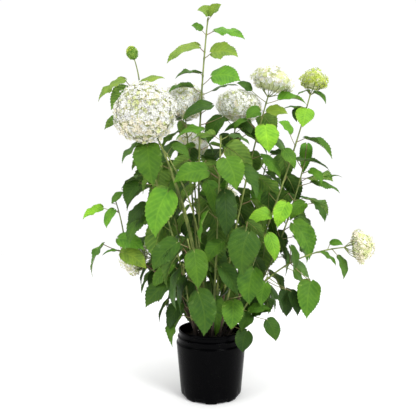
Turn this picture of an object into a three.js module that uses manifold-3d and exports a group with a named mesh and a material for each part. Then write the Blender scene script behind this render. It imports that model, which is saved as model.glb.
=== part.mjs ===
// A smooth hydrangea in a stepped nursery pot: a clump of canes that rise from the potting mix, each
// with pairs of drooping heart-shaped leaves, and on most of them a round head of small white flowers.
// Millimetres, +Z up. The origin is the centre of the pot's flat underside, and -Y is the plant's front.
import * as THREE from "three";
import { mergeVertices } from "three/addons/utils/BufferGeometryUtils.js";
import Module from "manifold-3d";

const wasm = await Module();
wasm.setup();

// ---- Driving dimensions -------------------------------------------------------------------------

const SEED = 2617;
const CLEARANCE = 0.3; // between neighbouring solids that meet
const SLIVER = 0.12; // edges and slivers finer than this are dropped from a finished solid

const POT = {
  height: 216,
  wall: 2.4,
  floor: 4,
  segments: 32,
  lipRadius: 108, // rolled lip at the top
  collarRadius: 105.5, // upper collar, under the lip
  bandRadius: 110.5, // middle band, one step out
  shoulderRadius: 115, // widest, just under the lower step
  heelRadius: 100, // foot of the wall
  footRadius: 94, // ring that stands on the ground
  lipDrop: 9, // height of the lip
  upperStep: 194, // height of the step between collar and band
  lowerStep: 175, // height of the step between band and shoulder
  heelHeight: 14, // top of the chamfer under the wall
  notches: 8, // drainage notches round the heel
  notchHeight: 11,
  notchDepth: 16,
  notchDegrees: 21,
};
const SOIL = { level: 190, crown: 5 };

// The canes. foot is where a cane leaves the potting mix; mid and tip are points on its axis. The leaf
// pairs stand from share start to share end of its length. twist is the heading of its lowest pair,
// and turn the angle from one pair to the next. droop is how far the blades hang below level, on the
// lowest and on the topmost pair. shed is a stretch that has dropped its leaves.
const CANES = [
  {
    name: "tall", foot: [-18, -12], mid: [-40, -20, 720], tip: [-10, -22, 1240], radius: 4.2,
    pairs: 7, start: 0.14, end: 0.58, blade: 124, twist: -78, turn: 96, droop: [66, 50],
  },
  {
    name: "ball", foot: [-30, -38], mid: [-60, -104, 520], tip: [-160, -170, 822], radius: 4,
    pairs: 8, start: 0.16, end: 0.93, blade: 132, twist: 8, turn: 52, droop: [72, 56],
    shed: [0.5, 0.84], head: { kind: "ball", width: 190, height: 178 },
  },
  {
    name: "bud", foot: [-12, -24], mid: [-92, -50, 612], tip: [-240, -50, 992], radius: 3.8,
    pairs: 7, start: 0.2, end: 0.985, blade: 118, twist: 60, turn: 96, droop: [66, 20], young: 0.1,
    shed: [0.5, 0.8],
    shoot: { from: 0.97, tip: [-248, -50, 1096], pairs: 0, head: { kind: "bud", width: 40, height: 46 } },
  },
  {
    name: "rear_left", foot: [-24, 18], mid: [-60, 48, 600], tip: [-88, 66, 925], radius: 4,
    pairs: 10, start: 0.14, end: 0.95, blade: 124, twist: 20, turn: 84, droop: [66, 34],
    head: { kind: "ball", width: 150, height: 132 },
  },
  {
    name: "centre_right", foot: [10, 26], mid: [46, 66, 600], tip: [90, 84, 922], radius: 4,
    pairs: 9, start: 0.16, end: 0.95, blade: 124, twist: 65, turn: 84, droop: [66, 34],
    head: { kind: "ball", width: 166, height: 114 },
  },
  {
    name: "upper_right", foot: [22, 6], mid: [98, 24, 612], tip: [196, 32, 1000], radius: 4,
    pairs: 9, start: 0.2, end: 0.96, blade: 122, twist: 40, turn: 88, droop: [66, 22],
    head: { kind: "dome", width: 160, height: 68 },
  },
  {
    name: "lime", foot: [36, -4], mid: [206, 16, 596], tip: [342, 40, 1010], radius: 3.8,
    pairs: 8, start: 0.2, end: 0.76, blade: 120, twist: 10, turn: 80, droop: [66, 48], young: 0.1,
    head: { kind: "dome", width: 106, height: 58 },
  },
  {
    name: "right", foot: [48, 22], mid: [206, 46, 430], tip: [322, 42, 776], radius: 3.6,
    pairs: 7, start: 0.42, end: 0.98, blade: 124, twist: 30, turn: 145, droop: [60, 4], young: 0.2,
  },
  {
    name: "low_right", foot: [46, -30], mid: [206, -44, 404], tip: [428, -70, 490], radius: 3.2,
    pairs: 0, start: 0.44,
    head: { kind: "dome", width: 112, height: 62 },
  },
  {
    name: "low_left", foot: [-46, -8], mid: [-150, -18, 372], tip: [-306, -22, 476], radius: 3.8,
    pairs: 0, start: 0.8,
    shoot: { name: "low_left_shoot", from: 0.93, tip: [-312, -26, 636], pairs: 0 },
  },
  {
    name: "left", foot: [-42, -32], mid: [-106, -76, 470], tip: [-196, -92, 770], radius: 3.8,
    pairs: 8, start: 0.3, end: 0.98, blade: 132, twist: 75, turn: 82, droop: [70, 46],
  },
  {
    name: "front_left", foot: [-16, -54], mid: [-44, -150, 386], tip: [-68, -226, 528], radius: 3.6,
    pairs: 6, start: 0.36, end: 0.98, blade: 128, twist: 60, turn: 84, droop: [74, 58],
  },
  {
    name: "front_right", foot: [24, -50], mid: [62, -140, 396], tip: [102, -200, 560], radius: 3.6,
    pairs: 6, start: 0.34, end: 0.98, blade: 124, twist: 15, turn: 84, droop: [74, 58],
  },
  {
    name: "front", foot: [3, -62], mid: [16, -142, 500], tip: [28, -164, 830], radius: 3.8,
    pairs: 9, start: 0.2, end: 0.98, blade: 122, twist: 40, turn: 82, droop: [72, 40],
  },
  {
    name: "pot_left", foot: [-48, -46], mid: [-72, -96, 330], tip: [-86, -132, 446], radius: 3.2,
    pairs: 5, start: 0.27, end: 0.96, blade: 112, twist: 60, turn: 80, droop: [72, 60],
  },
  {
    name: "pot_right", foot: [50, -46], mid: [106, -92, 306], tip: [176, -118, 404], radius: 3.2,
    pairs: 6, start: 0.2, end: 0.96, blade: 112, twist: 55, turn: 80, droop: [70, 58],
    shed: [0.1, 0.48],
  },
  {
    name: "low_rear_left", foot: [-52, 16], mid: [-130, 52, 376], tip: [-206, 76, 440], radius: 3.4,
    pairs: 5, start: 0.34, end: 0.86, blade: 110, twist: 25, turn: 84, droop: [70, 56],
    head: { kind: "dome", width: 134, height: 84 },
  },
  {
    name: "rear_upper_left", foot: [-34, 42], mid: [-120, 106, 540], tip: [-192, 150, 812], radius: 3.8,
    pairs: 9, start: 0.18, end: 0.98, blade: 124, twist: 50, turn: 84, droop: [66, 38],
  },
  {
    name: "rear", foot: [-10, 50], mid: [-44, 132, 520], tip: [-68, 192, 802], radius: 3.8,
    pairs: 9, start: 0.14, end: 0.95, blade: 120, twist: 10, turn: 84, droop: [66, 38],
    head: { kind: "ball", width: 130, height: 116 },
  },
  {
    name: "rear_right", foot: [40, 44], mid: [132, 124, 508], tip: [214, 184, 804], radius: 3.8,
    pairs: 10, start: 0.16, end: 0.98, blade: 122, twist: 70, turn: 84, droop: [66, 38],
  },
  {
    name: "low_rear", foot: [14, 62], mid: [34, 190, 420], tip: [48, 282, 612], radius: 3.6,
    pairs: 8, start: 0.16, end: 0.95, blade: 118, twist: 40, turn: 84, droop: [70, 44],
    head: { kind: "dome", width: 124, height: 74 },
  },
];

// Leaves that stand out on the plant's front are set one by one: the cane that bears the leaf, the share
// of its length where the petiole springs, the blade's base and tip, and how far the blade turns its face
// to the front, from 0 to 1. On these canes the rule below only fills in behind.
const SET_LEAVES = [
  ["tall", 0.99, [-5, -24, 1250], [-46, -34, 1260], 1],
  ["tall", 0.99, [1, -30, 1237], [32, -46, 1268], 0.8],
  ["tall", 0.945, [-31, -32, 1196], [-63, -44, 1207], 1],
  ["tall", 0.945, [12, -22, 1198], [113, -36, 1171], 0.8],
  ["tall", 0.89, [-41, -22, 1146], [-149, -36, 1090], 0.75],
  ["tall", 0.87, [2, -28, 1123], [88, -58, 1108], 1],
  ["tall", 0.815, [-35, -22, 1058], [-123, -42, 1039], 0.35],
  ["tall", 0.785, [4, -52, 1040], [93, -78, 1023], 1],
  ["tall", 0.76, [-61, -22, 1012], [-142, -48, 990], 0.4],
  ["tall", 0.755, [7, -12, 1005], [93, 2, 1029], 0.3],
  ["tall", 0.695, [2, -45, 948], [-94, -69, 895], 0.6],
  ["tall", 0.66, [36, -21, 914], [-10, -41, 826], 0.7],
  ["tall", 0.615, [-24, -57, 865], [-118, -77, 838], 0.45],
  ["bud", 0.99, [-279, -50, 1029], [-369, -62, 960], 0.6],
  ["bud", 0.99, [-226, -50, 1017], [-148, -58, 1037], 0.6],
  ["ball", 0.95, [-188, -177, 799], [-181, -203, 676], 1],
  ["ball", 0.97, [-209, -166, 808], [-269, -176, 747], 0.35],
  ["ball", 0.91, [-118, -148, 801], [-64, -162, 764], 0.6],
  ["front", 0.81, [-10, -174, 725], [-112, -204, 693], 1],
  ["front", 0.865, [42, -194, 759], [71, -228, 666], 1],
  ["front", 0.725, [40, -173, 662], [42, -195, 525], 1],
  ["front", 0.505, [32, -153, 514], [-16, -173, 450], 0.8],
  ["left", 0.765, [-128, -158, 666], [-165, -184, 527], 1],
  ["left", 0.865, [-225, -100, 694], [-262, -116, 621], 0.6],
  ["left", 0.745, [-199, -107, 624], [-257, -125, 563], 0.7],
  ["front_left", 0.89, [-97, -223, 517], [-167, -239, 438], 1],
  ["front_left", 0.825, [-49, -226, 492], [-41, -250, 388], 1],
  ["front_left", 0.425, [-40, -173, 368], [-16, -193, 240], 1],
  ["front", 0.385, [28, -169, 442], [74, -191, 359], 1],
  ["front_right", 0.325, [66, -136, 333], [66, -156, 249], 1],
  ["front_right", 0.82, [109, -196, 545], [82, -222, 420], 1],
  ["front_right", 0.585, [124, -176, 436], [106, -198, 333], 1],
  ["front_right", 0.34, [150, -90, 355], [108, -102, 273], 0.9],
  ["upper_right", 0.965, [136, 26, 1015], [88, 16, 1039], 1],
  ["pot_right", 0.815, [166, -111, 387], [154, -121, 316], 0.8],
  ["pot_right", 0.2, [111, -103, 233], [95, -113, 168], 1],
  ["pot_right", 0.405, [131, -103, 283], [187, -113, 299], 0.5],
  ["pot_right", 0.425, [172, -106, 272], [195, -118, 207], 1],
  ["pot_left", 0.265, [-92, -88, 279], [-125, -100, 178], 0.15],
  ["pot_left", 0.375, [-93, -79, 314], [-137, -89, 227], 0.7],
  ["low_rear_left", 0.58, [-191, 37, 396], [-182, 21, 294], 0.6],
  ["low_rear_left", 0.935, [-223, 44, 512], [-267, 44, 464], 0.6],
  ["low_left_shoot", 0.815, [-352, -41, 615], [-412, -65, 580], 0.9],
  ["low_left_shoot", 0.78, [-313, -47, 610], [-337, -63, 550], 0.8],
  ["low_left_shoot", 0.95, [-323, -26, 631], [-285, -34, 669], 0.7],
  ["low_left", 0.96, [-300, -46, 518], [-213, -86, 486], 0.9],
  ["low_left", 0.98, [-309, -30, 476], [-356, -38, 462], 0.3],
  ["low_left", 0.99, [-353, -26, 496], [-396, -36, 387], 0.1],
  ["low_left", 0.9, [-287, -52, 473], [-208, -74, 422], 1],
  ["low_right", 0.425, [242, -35, 350], [242, -45, 259], 0.3],
  ["low_right", 0.45, [256, -54, 348], [278, -74, 271], 0.8],
  ["low_right", 0.625, [318, -65, 381], [297, -95, 267], 1],
  ["low_right", 0.58, [273, -41, 409], [309, -51, 330], 0.3],
  ["low_right", 0.885, [380, -63, 503], [415, -87, 500], 1],
  ["low_right", 0.915, [407, -61, 461], [428, -73, 387], 0.3],
  ["low_right", 0.815, [345, -73, 475], [394, -83, 436], 0.3],
  ["low_right", 0.62, [253, -41, 493], [263, -49, 411], 0.1],
  ["right", 0.675, [275, -2, 564], [328, -28, 446], 1],
  ["lime", 0.52, [243, -47, 632], [214, -71, 551], 1],
  ["lime", 0.46, [192, -42, 594], [112, -68, 561], 0.8],
  ["lime", 0.39, [185, -49, 531], [204, -65, 441], 1],
  ["right", 0.795, [321, 37, 632], [267, 21, 574], 0.8],
  ["right", 0.8, [350, 27, 632], [388, 17, 568], 0.4],
  ["upper_right", 0.82, [178, -20, 886], [180, -46, 793], 1],
  ["lime", 0.715, [244, 2, 809], [276, -18, 743], 0.8],
  ["ball", 0.95, [-181, -169, 795], [-245, -179, 812], 0.5],
  ["pot_right", 0.405, [125, -91, 286], [89, -101, 233], 0.8],
  ["pot_right", 0.455, [116, -119, 299], [183, -125, 309], 0.6],
  ["upper_right", 0.905, [189, 17, 939], [257, 1, 932], 0.45],
  ["upper_right", 0.89, [164, 7, 937], [116, -5, 914], 0.8],
  ["lime", 0.92, [305, 42, 961], [290, 36, 909], 0.7],
  ["lime", 0.915, [309, 28, 958], [237, 20, 949], 0.2],
  ["centre_right", 0.965, [108, 59, 916], [138, 45, 869], 0.8],
  ["centre_right", 0.92, [108, 63, 893], [45, 43, 879], 0.6],
  ["upper_right", 0.835, [121, 10, 910], [73, -6, 881], 0.6],
  ["lime", 0.9, [321, 5, 947], [308, -15, 882], 1],
  ["lime", 0.78, [262, -5, 861], [223, -21, 901], 0.8],
  ["lime", 0.99, [338, 33, 1015], [290, 25, 1001], 0.1],
  ["lime", 0.99, [351, 33, 1009], [393, 25, 969], 0.35],
  ["lime", 0.795, [318, 20, 851], [415, 10, 783], 0.35],
  ["right", 0.965, [293, 31, 777], [404, 21, 747], 0.3],
  ["right", 0.99, [341, 54, 841], [335, 40, 735], 0.6],
  ["right", 0.945, [334, 20, 743], [374, -4, 695], 0.8],
  ["right", 0.925, [388, 44, 723], [451, 36, 724], 0.15],
  ["right", 0.89, [344, 31, 703], [443, 21, 670], 0.35],
];

const LEAF = {
  widthShare: 0.7, // blade width over blade length
  petioleShare: 0.38, // petiole length over blade length
  petioleDegrees: 54, // between the cane and the petiole
  petioleRadius: 1.5,
  thickness: 1.6, // of the midrib, under the blade
  foldDegrees: 9, // each half rises from the midrib by this much
  archDegrees: 42, // bend of the midrib from base to tip
  rollDegrees: 36, // most that a blade leans to one side
  outward: 0.55, // how strongly the blades turn away from the clump's middle
  stations: [[0.12, 0.86], [0.42, 1]], // share of the length, and the half width there over the greatest
  youngRise: 56, // how many degrees a young leaf stands above an old one, times its young share
  young: 0.28, // how much shorter the topmost pair is, where a cane gives no share of its own
};
// What a leaf does in turn until it is clear of its neighbours: [heading, droop] in degrees.
const SIDESTEPS = [[0, 0], [20, -10], [-20, 10], [38, 14], [-38, -14], [0, 30], [60, 0], [-60, 0]];
// How far a leaf that is set by hand moves back or forward until it is clear.
const DEPTH_STEPS = [0, -14, 14, -28, 28, -44, 44];
const FRONT = [0, -0.86, 0.51]; // the way that such a leaf faces
const FILL_DEPTH = 24; // how far in front of its cane's axis a leaf of the rule may reach there

// ---- Seeded chance, vectors and closed skins ----------------------------------------------------

// The same number from 0 to 1 for the same keys, whatever was drawn before.
function chance(...keys) {
  let h = SEED;
  for (const key of keys) {
    h = Math.imul(h ^ (key + 0x9e37), 0x85ebca6b) >>> 0;
    h = (h ^ (h >>> 13)) >>> 0;
  }
  h = Math.imul(h, 0xc2b2ae35) >>> 0;
  return ((h ^ (h >>> 16)) >>> 0) / 2 ** 32;
}
const spread = (...keys) => 2 * chance(...keys) - 1;
const radians = THREE.MathUtils.degToRad;
const vec = (x, y, z) => new THREE.Vector3(x, y, z);
const UP = vec(0, 0, 1);

// sum(a, 2, b, 3) is 2a + 3b.
function sum(...terms) {
  const total = vec(0, 0, 0);
  for (let i = 0; i < terms.length; i += 2) total.addScaledVector(terms[i], terms[i + 1]);
  return total;
}

function manifoldOf(positions, triangles) {
  return new wasm.Manifold(
    new wasm.Mesh({
      numProp: 3,
      vertProperties: new Float32Array(positions),
      triVerts: new Uint32Array(triangles),
    }),
  );
}

// A closed skin over rings of points, which run anticlockwise seen from the far end. A last ring of one
// point is a tip.
function loft(rings) {
  const sides = rings[0].length;
  const triangles = [];
  for (let k = 1; k < sides - 1; k++) triangles.push(0, k + 1, k);
  rings.slice(1).forEach((ring, i) => {
    const a = i * sides;
    const b = a + sides;
    for (let k = 0; k < sides; k++) {
      const next = (k + 1) % sides;
      if (ring.length === 1) triangles.push(a + k, a + next, b);
      else triangles.push(a + k, a + next, b + next, a + k, b + next, b + k);
    }
  });
  const last = rings.at(-1);
  const base = (rings.length - 1) * sides;
  if (last.length > 1) for (let k = 1; k < sides - 1; k++) triangles.push(base, base + k, base + k + 1);
  return manifoldOf(rings.flat().flatMap((p) => p.toArray()), triangles);
}

function solidOf(geometry) {
  geometry.deleteAttribute("normal");
  geometry.deleteAttribute("uv");
  const merged = mergeVertices(geometry.index ? geometry.toNonIndexed() : geometry, 1e-3);
  return manifoldOf(merged.getAttribute("position").array, merged.index.array);
}

const root = new THREE.Group();

function addNode(name, solid, material) {
  const { numProp, vertProperties, triVerts } = solid.asOriginal().simplify(SLIVER).getMesh();
  const geometry = new THREE.BufferGeometry();
  const positions = new THREE.InterleavedBuffer(new Float32Array(vertProperties), numProp);
  geometry.setAttribute("position", new THREE.InterleavedBufferAttribute(positions, 3, 0));
  geometry.setIndex(new THREE.BufferAttribute(new Uint32Array(triVerts), 1));
  const mesh = new THREE.Mesh(geometry, material);
  mesh.name = name;
  root.add(mesh);
}

const finish = (color, roughness) => new THREE.MeshStandardMaterial({ color, roughness, metalness: 0 });
const MATERIALS = {
  plastic: finish(0x17181a, 0.5),
  soil: finish(0x3a2a1e, 1),
  cane: finish(0x8c8a4a, 0.7),
  leaf: finish(0x4f8a2e, 0.6),
  blooming: finish(0x8fb06a, 0.7),
};

// ---- Pot and potting mix ------------------------------------------------------------------------

// Half the pot's section, from the middle of its underside round the outside and back down the inside.
function potProfile() {
  const p = POT;
  const inner = (radius) => radius - p.wall;
  return [
    [0, 0],
    [p.footRadius, 0],
    [p.heelRadius, p.heelHeight],
    [p.shoulderRadius, p.lowerStep],
    [p.bandRadius, p.lowerStep + 1],
    [p.bandRadius, p.upperStep - 1],
    [p.collarRadius, p.upperStep + 1],
    [p.collarRadius, p.height - p.lipDrop],
    [p.lipRadius, p.height - p.lipDrop + 2],
    [p.lipRadius, p.height],
    [inner(p.collarRadius), p.height],
    [inner(p.collarRadius), p.lowerStep + 2],
    [inner(p.shoulderRadius), p.lowerStep - 6],
    [inner(p.heelRadius), p.floor],
    [0, p.floor],
  ].map(([radius, z]) => new THREE.Vector2(radius, z));
}

const lathe = (profile, segments) => new THREE.LatheGeometry(profile, segments).rotateX(Math.PI / 2);

function makePot() {
  let pot = solidOf(lathe(potProfile(), POT.segments));
  const width = 2 * POT.heelRadius * Math.sin(radians(POT.notchDegrees / 2));
  for (let i = 0; i < POT.notches; i++) {
    const notch = new THREE.BoxGeometry(POT.notchDepth, width, 2 * POT.notchHeight)
      .translate(POT.heelRadius - POT.notchDepth / 4, 0, 0)
      .rotateZ(((i + 0.5) / POT.notches) * 2 * Math.PI - Math.PI / 2);
    pot = pot.subtract(solidOf(notch));
  }
  return pot;
}

// The mix fills the pot to just under its collar and is heaped a little round the canes.
function makeSoil() {
  const { floor, wall, heelRadius, collarRadius, lowerStep } = POT;
  const foot = heelRadius - wall - CLEARANCE;
  const top = collarRadius - wall - CLEARANCE;
  const profile = [
    [0, floor + CLEARANCE],
    [foot - 1, floor + CLEARANCE],
    [top, lowerStep - 20],
    [top, SOIL.level - SOIL.crown],
    [top * 0.62, SOIL.level],
    [0, SOIL.level],
  ].map(([radius, z]) => new THREE.Vector2(radius, z));
  return solidOf(lathe(profile, POT.segments));
}

// ---- Canes --------------------------------------------------------------------------------------

// The point at share s of a cane's axis, on the parabola through its foot, mid and tip.
function axisPoint({ foot, mid, tip }, s) {
  return sum(foot, (1 - s) * (1 - 2 * s), mid, 4 * s * (1 - s), tip, s * (2 * s - 1));
}

function axisDirection({ foot, mid, tip }, s) {
  return sum(foot, 4 * s - 3, mid, 4 - 8 * s, tip, 4 * s - 1).normalize();
}

// Two directions across a cane: the first is as near to +X as its lean allows.
function across(direction) {
  const first = vec(1, 0, 0).addScaledVector(direction, -direction.x).normalize();
  return [first, direction.clone().cross(first)];
}

function ringRound(centre, direction, radius, sides) {
  const [first, second] = across(direction);
  return Array.from({ length: sides }, (_, k) => {
    const angle = (2 * Math.PI * k) / sides;
    return sum(centre, 1, first, radius * Math.cos(angle), second, radius * Math.sin(angle));
  });
}

// A cane thins towards its tip and flares a little where it leaves the ground.
function caneRadius(cane, s) {
  const flare = 0.35 * Math.exp(-s / 0.03);
  return cane.radius * (1 - 0.42 * s + flare);
}

function caneSolid(cane, from, to, steps, sides, onGround) {
  const rings = Array.from({ length: steps + 1 }, (_, k) => {
    const s = from + ((to - from) * k) / steps;
    const direction = onGround && k === 0 ? UP : axisDirection(cane, s);
    return ringRound(axisPoint(cane, s), direction, caneRadius(cane, s), sides);
  });
  return loft(rings);
}

// ---- Leaves -------------------------------------------------------------------------------------

// Where each pair of a cane stands: closer together towards the tip.
function pairShare(cane, i) {
  const along = i / (cane.pairs - 1);
  return cane.start + (cane.end - cane.start) * (1 - (1 - along) ** 1.15);
}

// One leaf's place and set, from its cane, its pair, its side and a sidestep.
function leafAt(cane, key, i, side, [turnAside, droopMore]) {
  const s = pairShare(cane, i);
  const direction = axisDirection(cane, s);
  const [first, second] = across(direction);
  const heading = radians(
    cane.twist + i * cane.turn + 180 * side + 20 * spread(key, i, side, 1) + turnAside,
  );
  const aside = sum(first, Math.cos(heading), second, Math.sin(heading));
  const lean = radians(LEAF.petioleDegrees + 8 * spread(key, i, side, 2));
  const reach = sum(aside, Math.sin(lean), direction, Math.cos(lean));
  const fromTop = cane.pairs - 1 - i;
  const young = cane.young ?? LEAF.young;
  const size = (1 - young * Math.exp(-0.9 * fromTop)) * (1 + 0.14 * spread(key, i, side, 3));
  const length = cane.blade * size;
  const root = axisPoint(cane, s);
  const petiole = length * LEAF.petioleShare * (1 + 0.3 * spread(key, i, side, 4));
  const base = sum(root, 1, reach, petiole);
  const outward = vec(root.x, root.y, 0);
  outward.multiplyScalar(LEAF.outward / Math.max(outward.length(), 60));
  const level = vec(reach.x, reach.y, 0).add(outward).normalize();
  const along = i / (cane.pairs - 1);
  const rise = LEAF.youngRise * young * Math.exp(-1.5 * fromTop);
  const droop = cane.droop[0] + (cane.droop[1] - cane.droop[0]) * along ** 1.5 - rise;
  return {
    root,
    base,
    reach,
    level,
    side: UP.clone().cross(level),
    length,
    start: radians(droop + droopMore + 13 * spread(key, i, side, 5) - LEAF.archDegrees / 2),
    arch: radians(LEAF.archDegrees),
    roll: radians(LEAF.rollDegrees * spread(key, i, side, 6)),
  };
}

// A leaf set by hand, from its row in SET_LEAVES and a step in depth.
function setLeafAt(cane, [, s, baseAt, tipAt, facing], depth) {
  const root = axisPoint(cane, s);
  const base = vec(...baseAt).add(vec(0, depth, 0));
  const chord = vec(...tipAt).add(vec(0, depth, 0)).sub(base);
  const flat = Math.hypot(chord.x, chord.y);
  const level = vec(chord.x / flat, chord.y / flat, 0);
  const side = UP.clone().cross(level);
  const droop = Math.atan2(-chord.z, flat);
  const arch = radians(LEAF.archDegrees);
  const normal = sum(level, Math.sin(droop), UP, Math.cos(droop));
  const front = vec(...FRONT);
  return {
    root,
    base,
    reach: base.clone().sub(root).normalize(),
    level,
    side,
    length: (chord.length() * arch) / 2 / Math.sin(arch / 2),
    start: droop - arch / 2,
    arch,
    roll: facing * Math.atan2(-front.dot(side), front.dot(normal)),
  };
}

// A point of the blade: share t along the midrib, across from it, and lifted off it.
function bladePoint(leaf, t, offset, lift) {
  const angle = leaf.start + leaf.arch * t;
  const forward = (leaf.length * (Math.sin(angle) - Math.sin(leaf.start))) / leaf.arch;
  const drop = (leaf.length * (Math.cos(leaf.start) - Math.cos(angle))) / leaf.arch;
  const normal = sum(leaf.level, Math.sin(angle), UP, Math.cos(angle));
  const wide = sum(leaf.side, Math.cos(leaf.roll), normal, Math.sin(leaf.roll));
  const high = sum(normal, Math.cos(leaf.roll), leaf.side, -Math.sin(leaf.roll));
  const fold = radians(LEAF.foldDegrees);
  return sum(
    leaf.base, 1,
    leaf.level, forward,
    UP, -drop,
    wide, offset * Math.cos(fold),
    high, Math.abs(offset) * Math.sin(fold) + lift,
  );
}

// The petiole is a thin three-sided bar from inside the cane. The blade is a shallow keeled boat: two
// edges and the midrib under them, coming to a point. grow thickens both, for testing that a leaf is
// clear of what is round it.
function leafSolids(leaf, grow = 0) {
  const halfWidth = (leaf.length * LEAF.widthShare) / 2;
  const radius = LEAF.petioleRadius + 2 * grow;
  const over = leaf.reach.clone().cross(leaf.side).normalize();
  const barRing = (centre, share = 1) => [
    sum(centre, 1, leaf.side, 0.87 * share * radius, over, 0.5 * share * radius),
    sum(centre, 1, leaf.side, -0.87 * share * radius, over, 0.5 * share * radius),
    sum(centre, 1, over, -share * radius),
  ];
  const bladeRings = LEAF.stations.map(([t, share]) => {
    const offset = halfWidth * share + 2 * grow;
    return [
      bladePoint(leaf, t, offset, grow),
      bladePoint(leaf, t, -offset, grow),
      bladePoint(leaf, t, 0, -LEAF.thickness - 2 * grow),
    ];
  });
  const point = [bladePoint(leaf, 1 + (2 * grow) / leaf.length, 0, 0)];
  return {
    petiole: [barRing(leaf.root, 0.5), barRing(leaf.base)],
    blade: [barRing(leaf.base), ...bladeRings, point],
  };
}

const wholeLeaf = (leaf) => {
  const { petiole, blade } = leafSolids(leaf);
  return loft([petiole[0], ...blade]);
};

// ---- What is already in place, so that a new leaf keeps clear of it -----------------------------

const standing = [];

function stand(owner, solid) {
  standing.push({ owner, solid, box: solid.boundingBox() });
}

function boxesMeet(a, b) {
  return [0, 1, 2].every((k) => a.min[k] <= b.max[k] && b.min[k] <= a.max[k]);
}

function touches(solid, ignored) {
  const box = solid.boundingBox();
  return standing.some(
    (other) => other.owner !== ignored && boxesMeet(box, other.box) && !solid.intersect(other.solid).isEmpty(),
  );
}

// A leaf's blade must be clear of everything, and its petiole of all but its own cane's stem and leaves.
function isClear(leaf, owner) {
  const { petiole, blade } = leafSolids(leaf, 2 * CLEARANCE);
  return !touches(loft(blade.slice(1)), null) && !touches(loft([petiole[0], petiole[1]]), owner)
    && !touches(loft(blade), owner);
}

// The leaves of a cane that are set by hand, fused to the stem that carries them.
function addSetLeaves(stem, cane, owner) {
  let mass = stem;
  for (const row of SET_LEAVES.filter(([name]) => name === cane.name)) {
    const leaf = DEPTH_STEPS.map((depth) => setLeafAt(cane, row, depth)).find((l) => isClear(l, owner));
    if (!leaf) continue;
    const solid = wholeLeaf(leaf);
    stand(owner, solid);
    mass = mass.add(solid);
  }
  return mass;
}

const isSetByHand = (cane) => SET_LEAVES.some(([name]) => name === cane.name);

// Each leaf of a cane's rule that finds room, fused to the stem in the same way.
function addLeaves(stem, cane, key, owner) {
  let mass = stem;
  const fillsIn = isSetByHand(cane);
  const isBehind = (leaf) => !fillsIn || bladePoint(leaf, 0.6, 0, 0).y > leaf.root.y - FILL_DEPTH;
  for (let i = cane.pairs - 1; i >= 0; i--) {
    const s = pairShare(cane, i);
    if (cane.shed && s > cane.shed[0] && s < cane.shed[1]) continue;
    for (const side of [0, 1]) {
      const leaf = SIDESTEPS.map((step) => leafAt(cane, key, i, side, step))
        .find((l) => isBehind(l) && isClear(l, owner));
      if (!leaf) continue;
      const solid = wholeLeaf(leaf);
      stand(owner, solid);
      mass = mass.add(solid);
    }
  }
  return mass;
}

// ---- Flower heads -------------------------------------------------------------------------------

const HEADS = {
  ball: { detail: 2, lump: 0.07, under: 1, seat: 0.45, rays: 0 },
  dome: { detail: 2, lump: 0.09, under: 0.34, seat: 0.62, rays: 3 },
  bud: { detail: 1, lump: 0.03, under: 1, seat: 0.42, rays: 0 },
};

// A lumpy cushion of flowers on the cane's tip. A dome is shallow underneath, and stands on the rays
// that fan out from the tip.
function headSolid(cane, key) {
  const { kind, width, height } = cane.head;
  const { detail, lump, under, seat, rays } = HEADS[kind];
  const direction = axisDirection(cane, 1);
  const [first, second] = across(direction);
  const tip = axisPoint(cane, 1);
  const start = axisPoint(cane, 0.995);
  const centre = sum(tip, 1, direction, height * seat);
  const tall = under < 1 ? height * (1 - 0.5 * under) : height / 2;
  const cushion = mergeVertices(
    (() => {
      const ball = new THREE.IcosahedronGeometry(1, detail);
      ball.deleteAttribute("normal");
      ball.deleteAttribute("uv");
      return ball;
    })(),
    1e-3,
  );
  const place = cushion.getAttribute("position");
  for (let k = 0; k < place.count; k++) {
    const size = 1 - lump * chance(key, 77, k);
    const up = place.getZ(k) * (place.getZ(k) < 0 ? under : 1);
    const p = sum(
      centre, 1,
      first, (place.getX(k) * size * width) / 2,
      second, (place.getY(k) * size * width) / 2,
      direction, up * size * tall,
    );
    place.setXYZ(k, p.x, p.y, p.z);
  }
  let head = manifoldOf(place.array, cushion.index.array);
  const stalkRadius = caneRadius(cane, 1);
  const ray = (end, radius) => loft([
    ringRound(start, direction, radius, 3),
    ringRound(end, direction, radius * 0.7, 3),
  ]);
  head = head.add(ray(centre, stalkRadius));
  for (let k = 0; k < rays; k++) {
    const angle = (2 * Math.PI * k) / rays;
    const out = sum(first, Math.cos(angle), second, Math.sin(angle));
    head = head.add(ray(sum(centre, 1, out, 0.31 * width, direction, -0.1 * height), 0.55 * stalkRadius));
  }
  return head;
}

// ---- The plant ----------------------------------------------------------------------------------

const onSoil = ([x, y]) => vec(x, y, SOIL.level + CLEARANCE);
const canes = CANES.map((cane) => ({
  ...cane,
  foot: onSoil(cane.foot),
  mid: vec(...cane.mid),
  tip: vec(...cane.tip),
}));

// The share of its length where a cane's leafy part starts, a little under its lowest pair.
const leafyFrom = (cane) => cane.start - 0.03;

// A side shoot is a small cane of its own that starts inside the main one.
function shootOf(cane) {
  const foot = axisPoint(cane, cane.shoot.from);
  const tip = vec(...cane.shoot.tip);
  const mid = sum(foot, 0.5, tip, 0.5).add(vec(6, 0, 0));
  return { ...cane.shoot, foot, mid, tip, start: 0.3, end: 0.98, radius: 0.75 * cane.radius };
}

const pot = makePot();
const soil = makeSoil();
stand("pot", pot);
stand("soil", soil);

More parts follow.
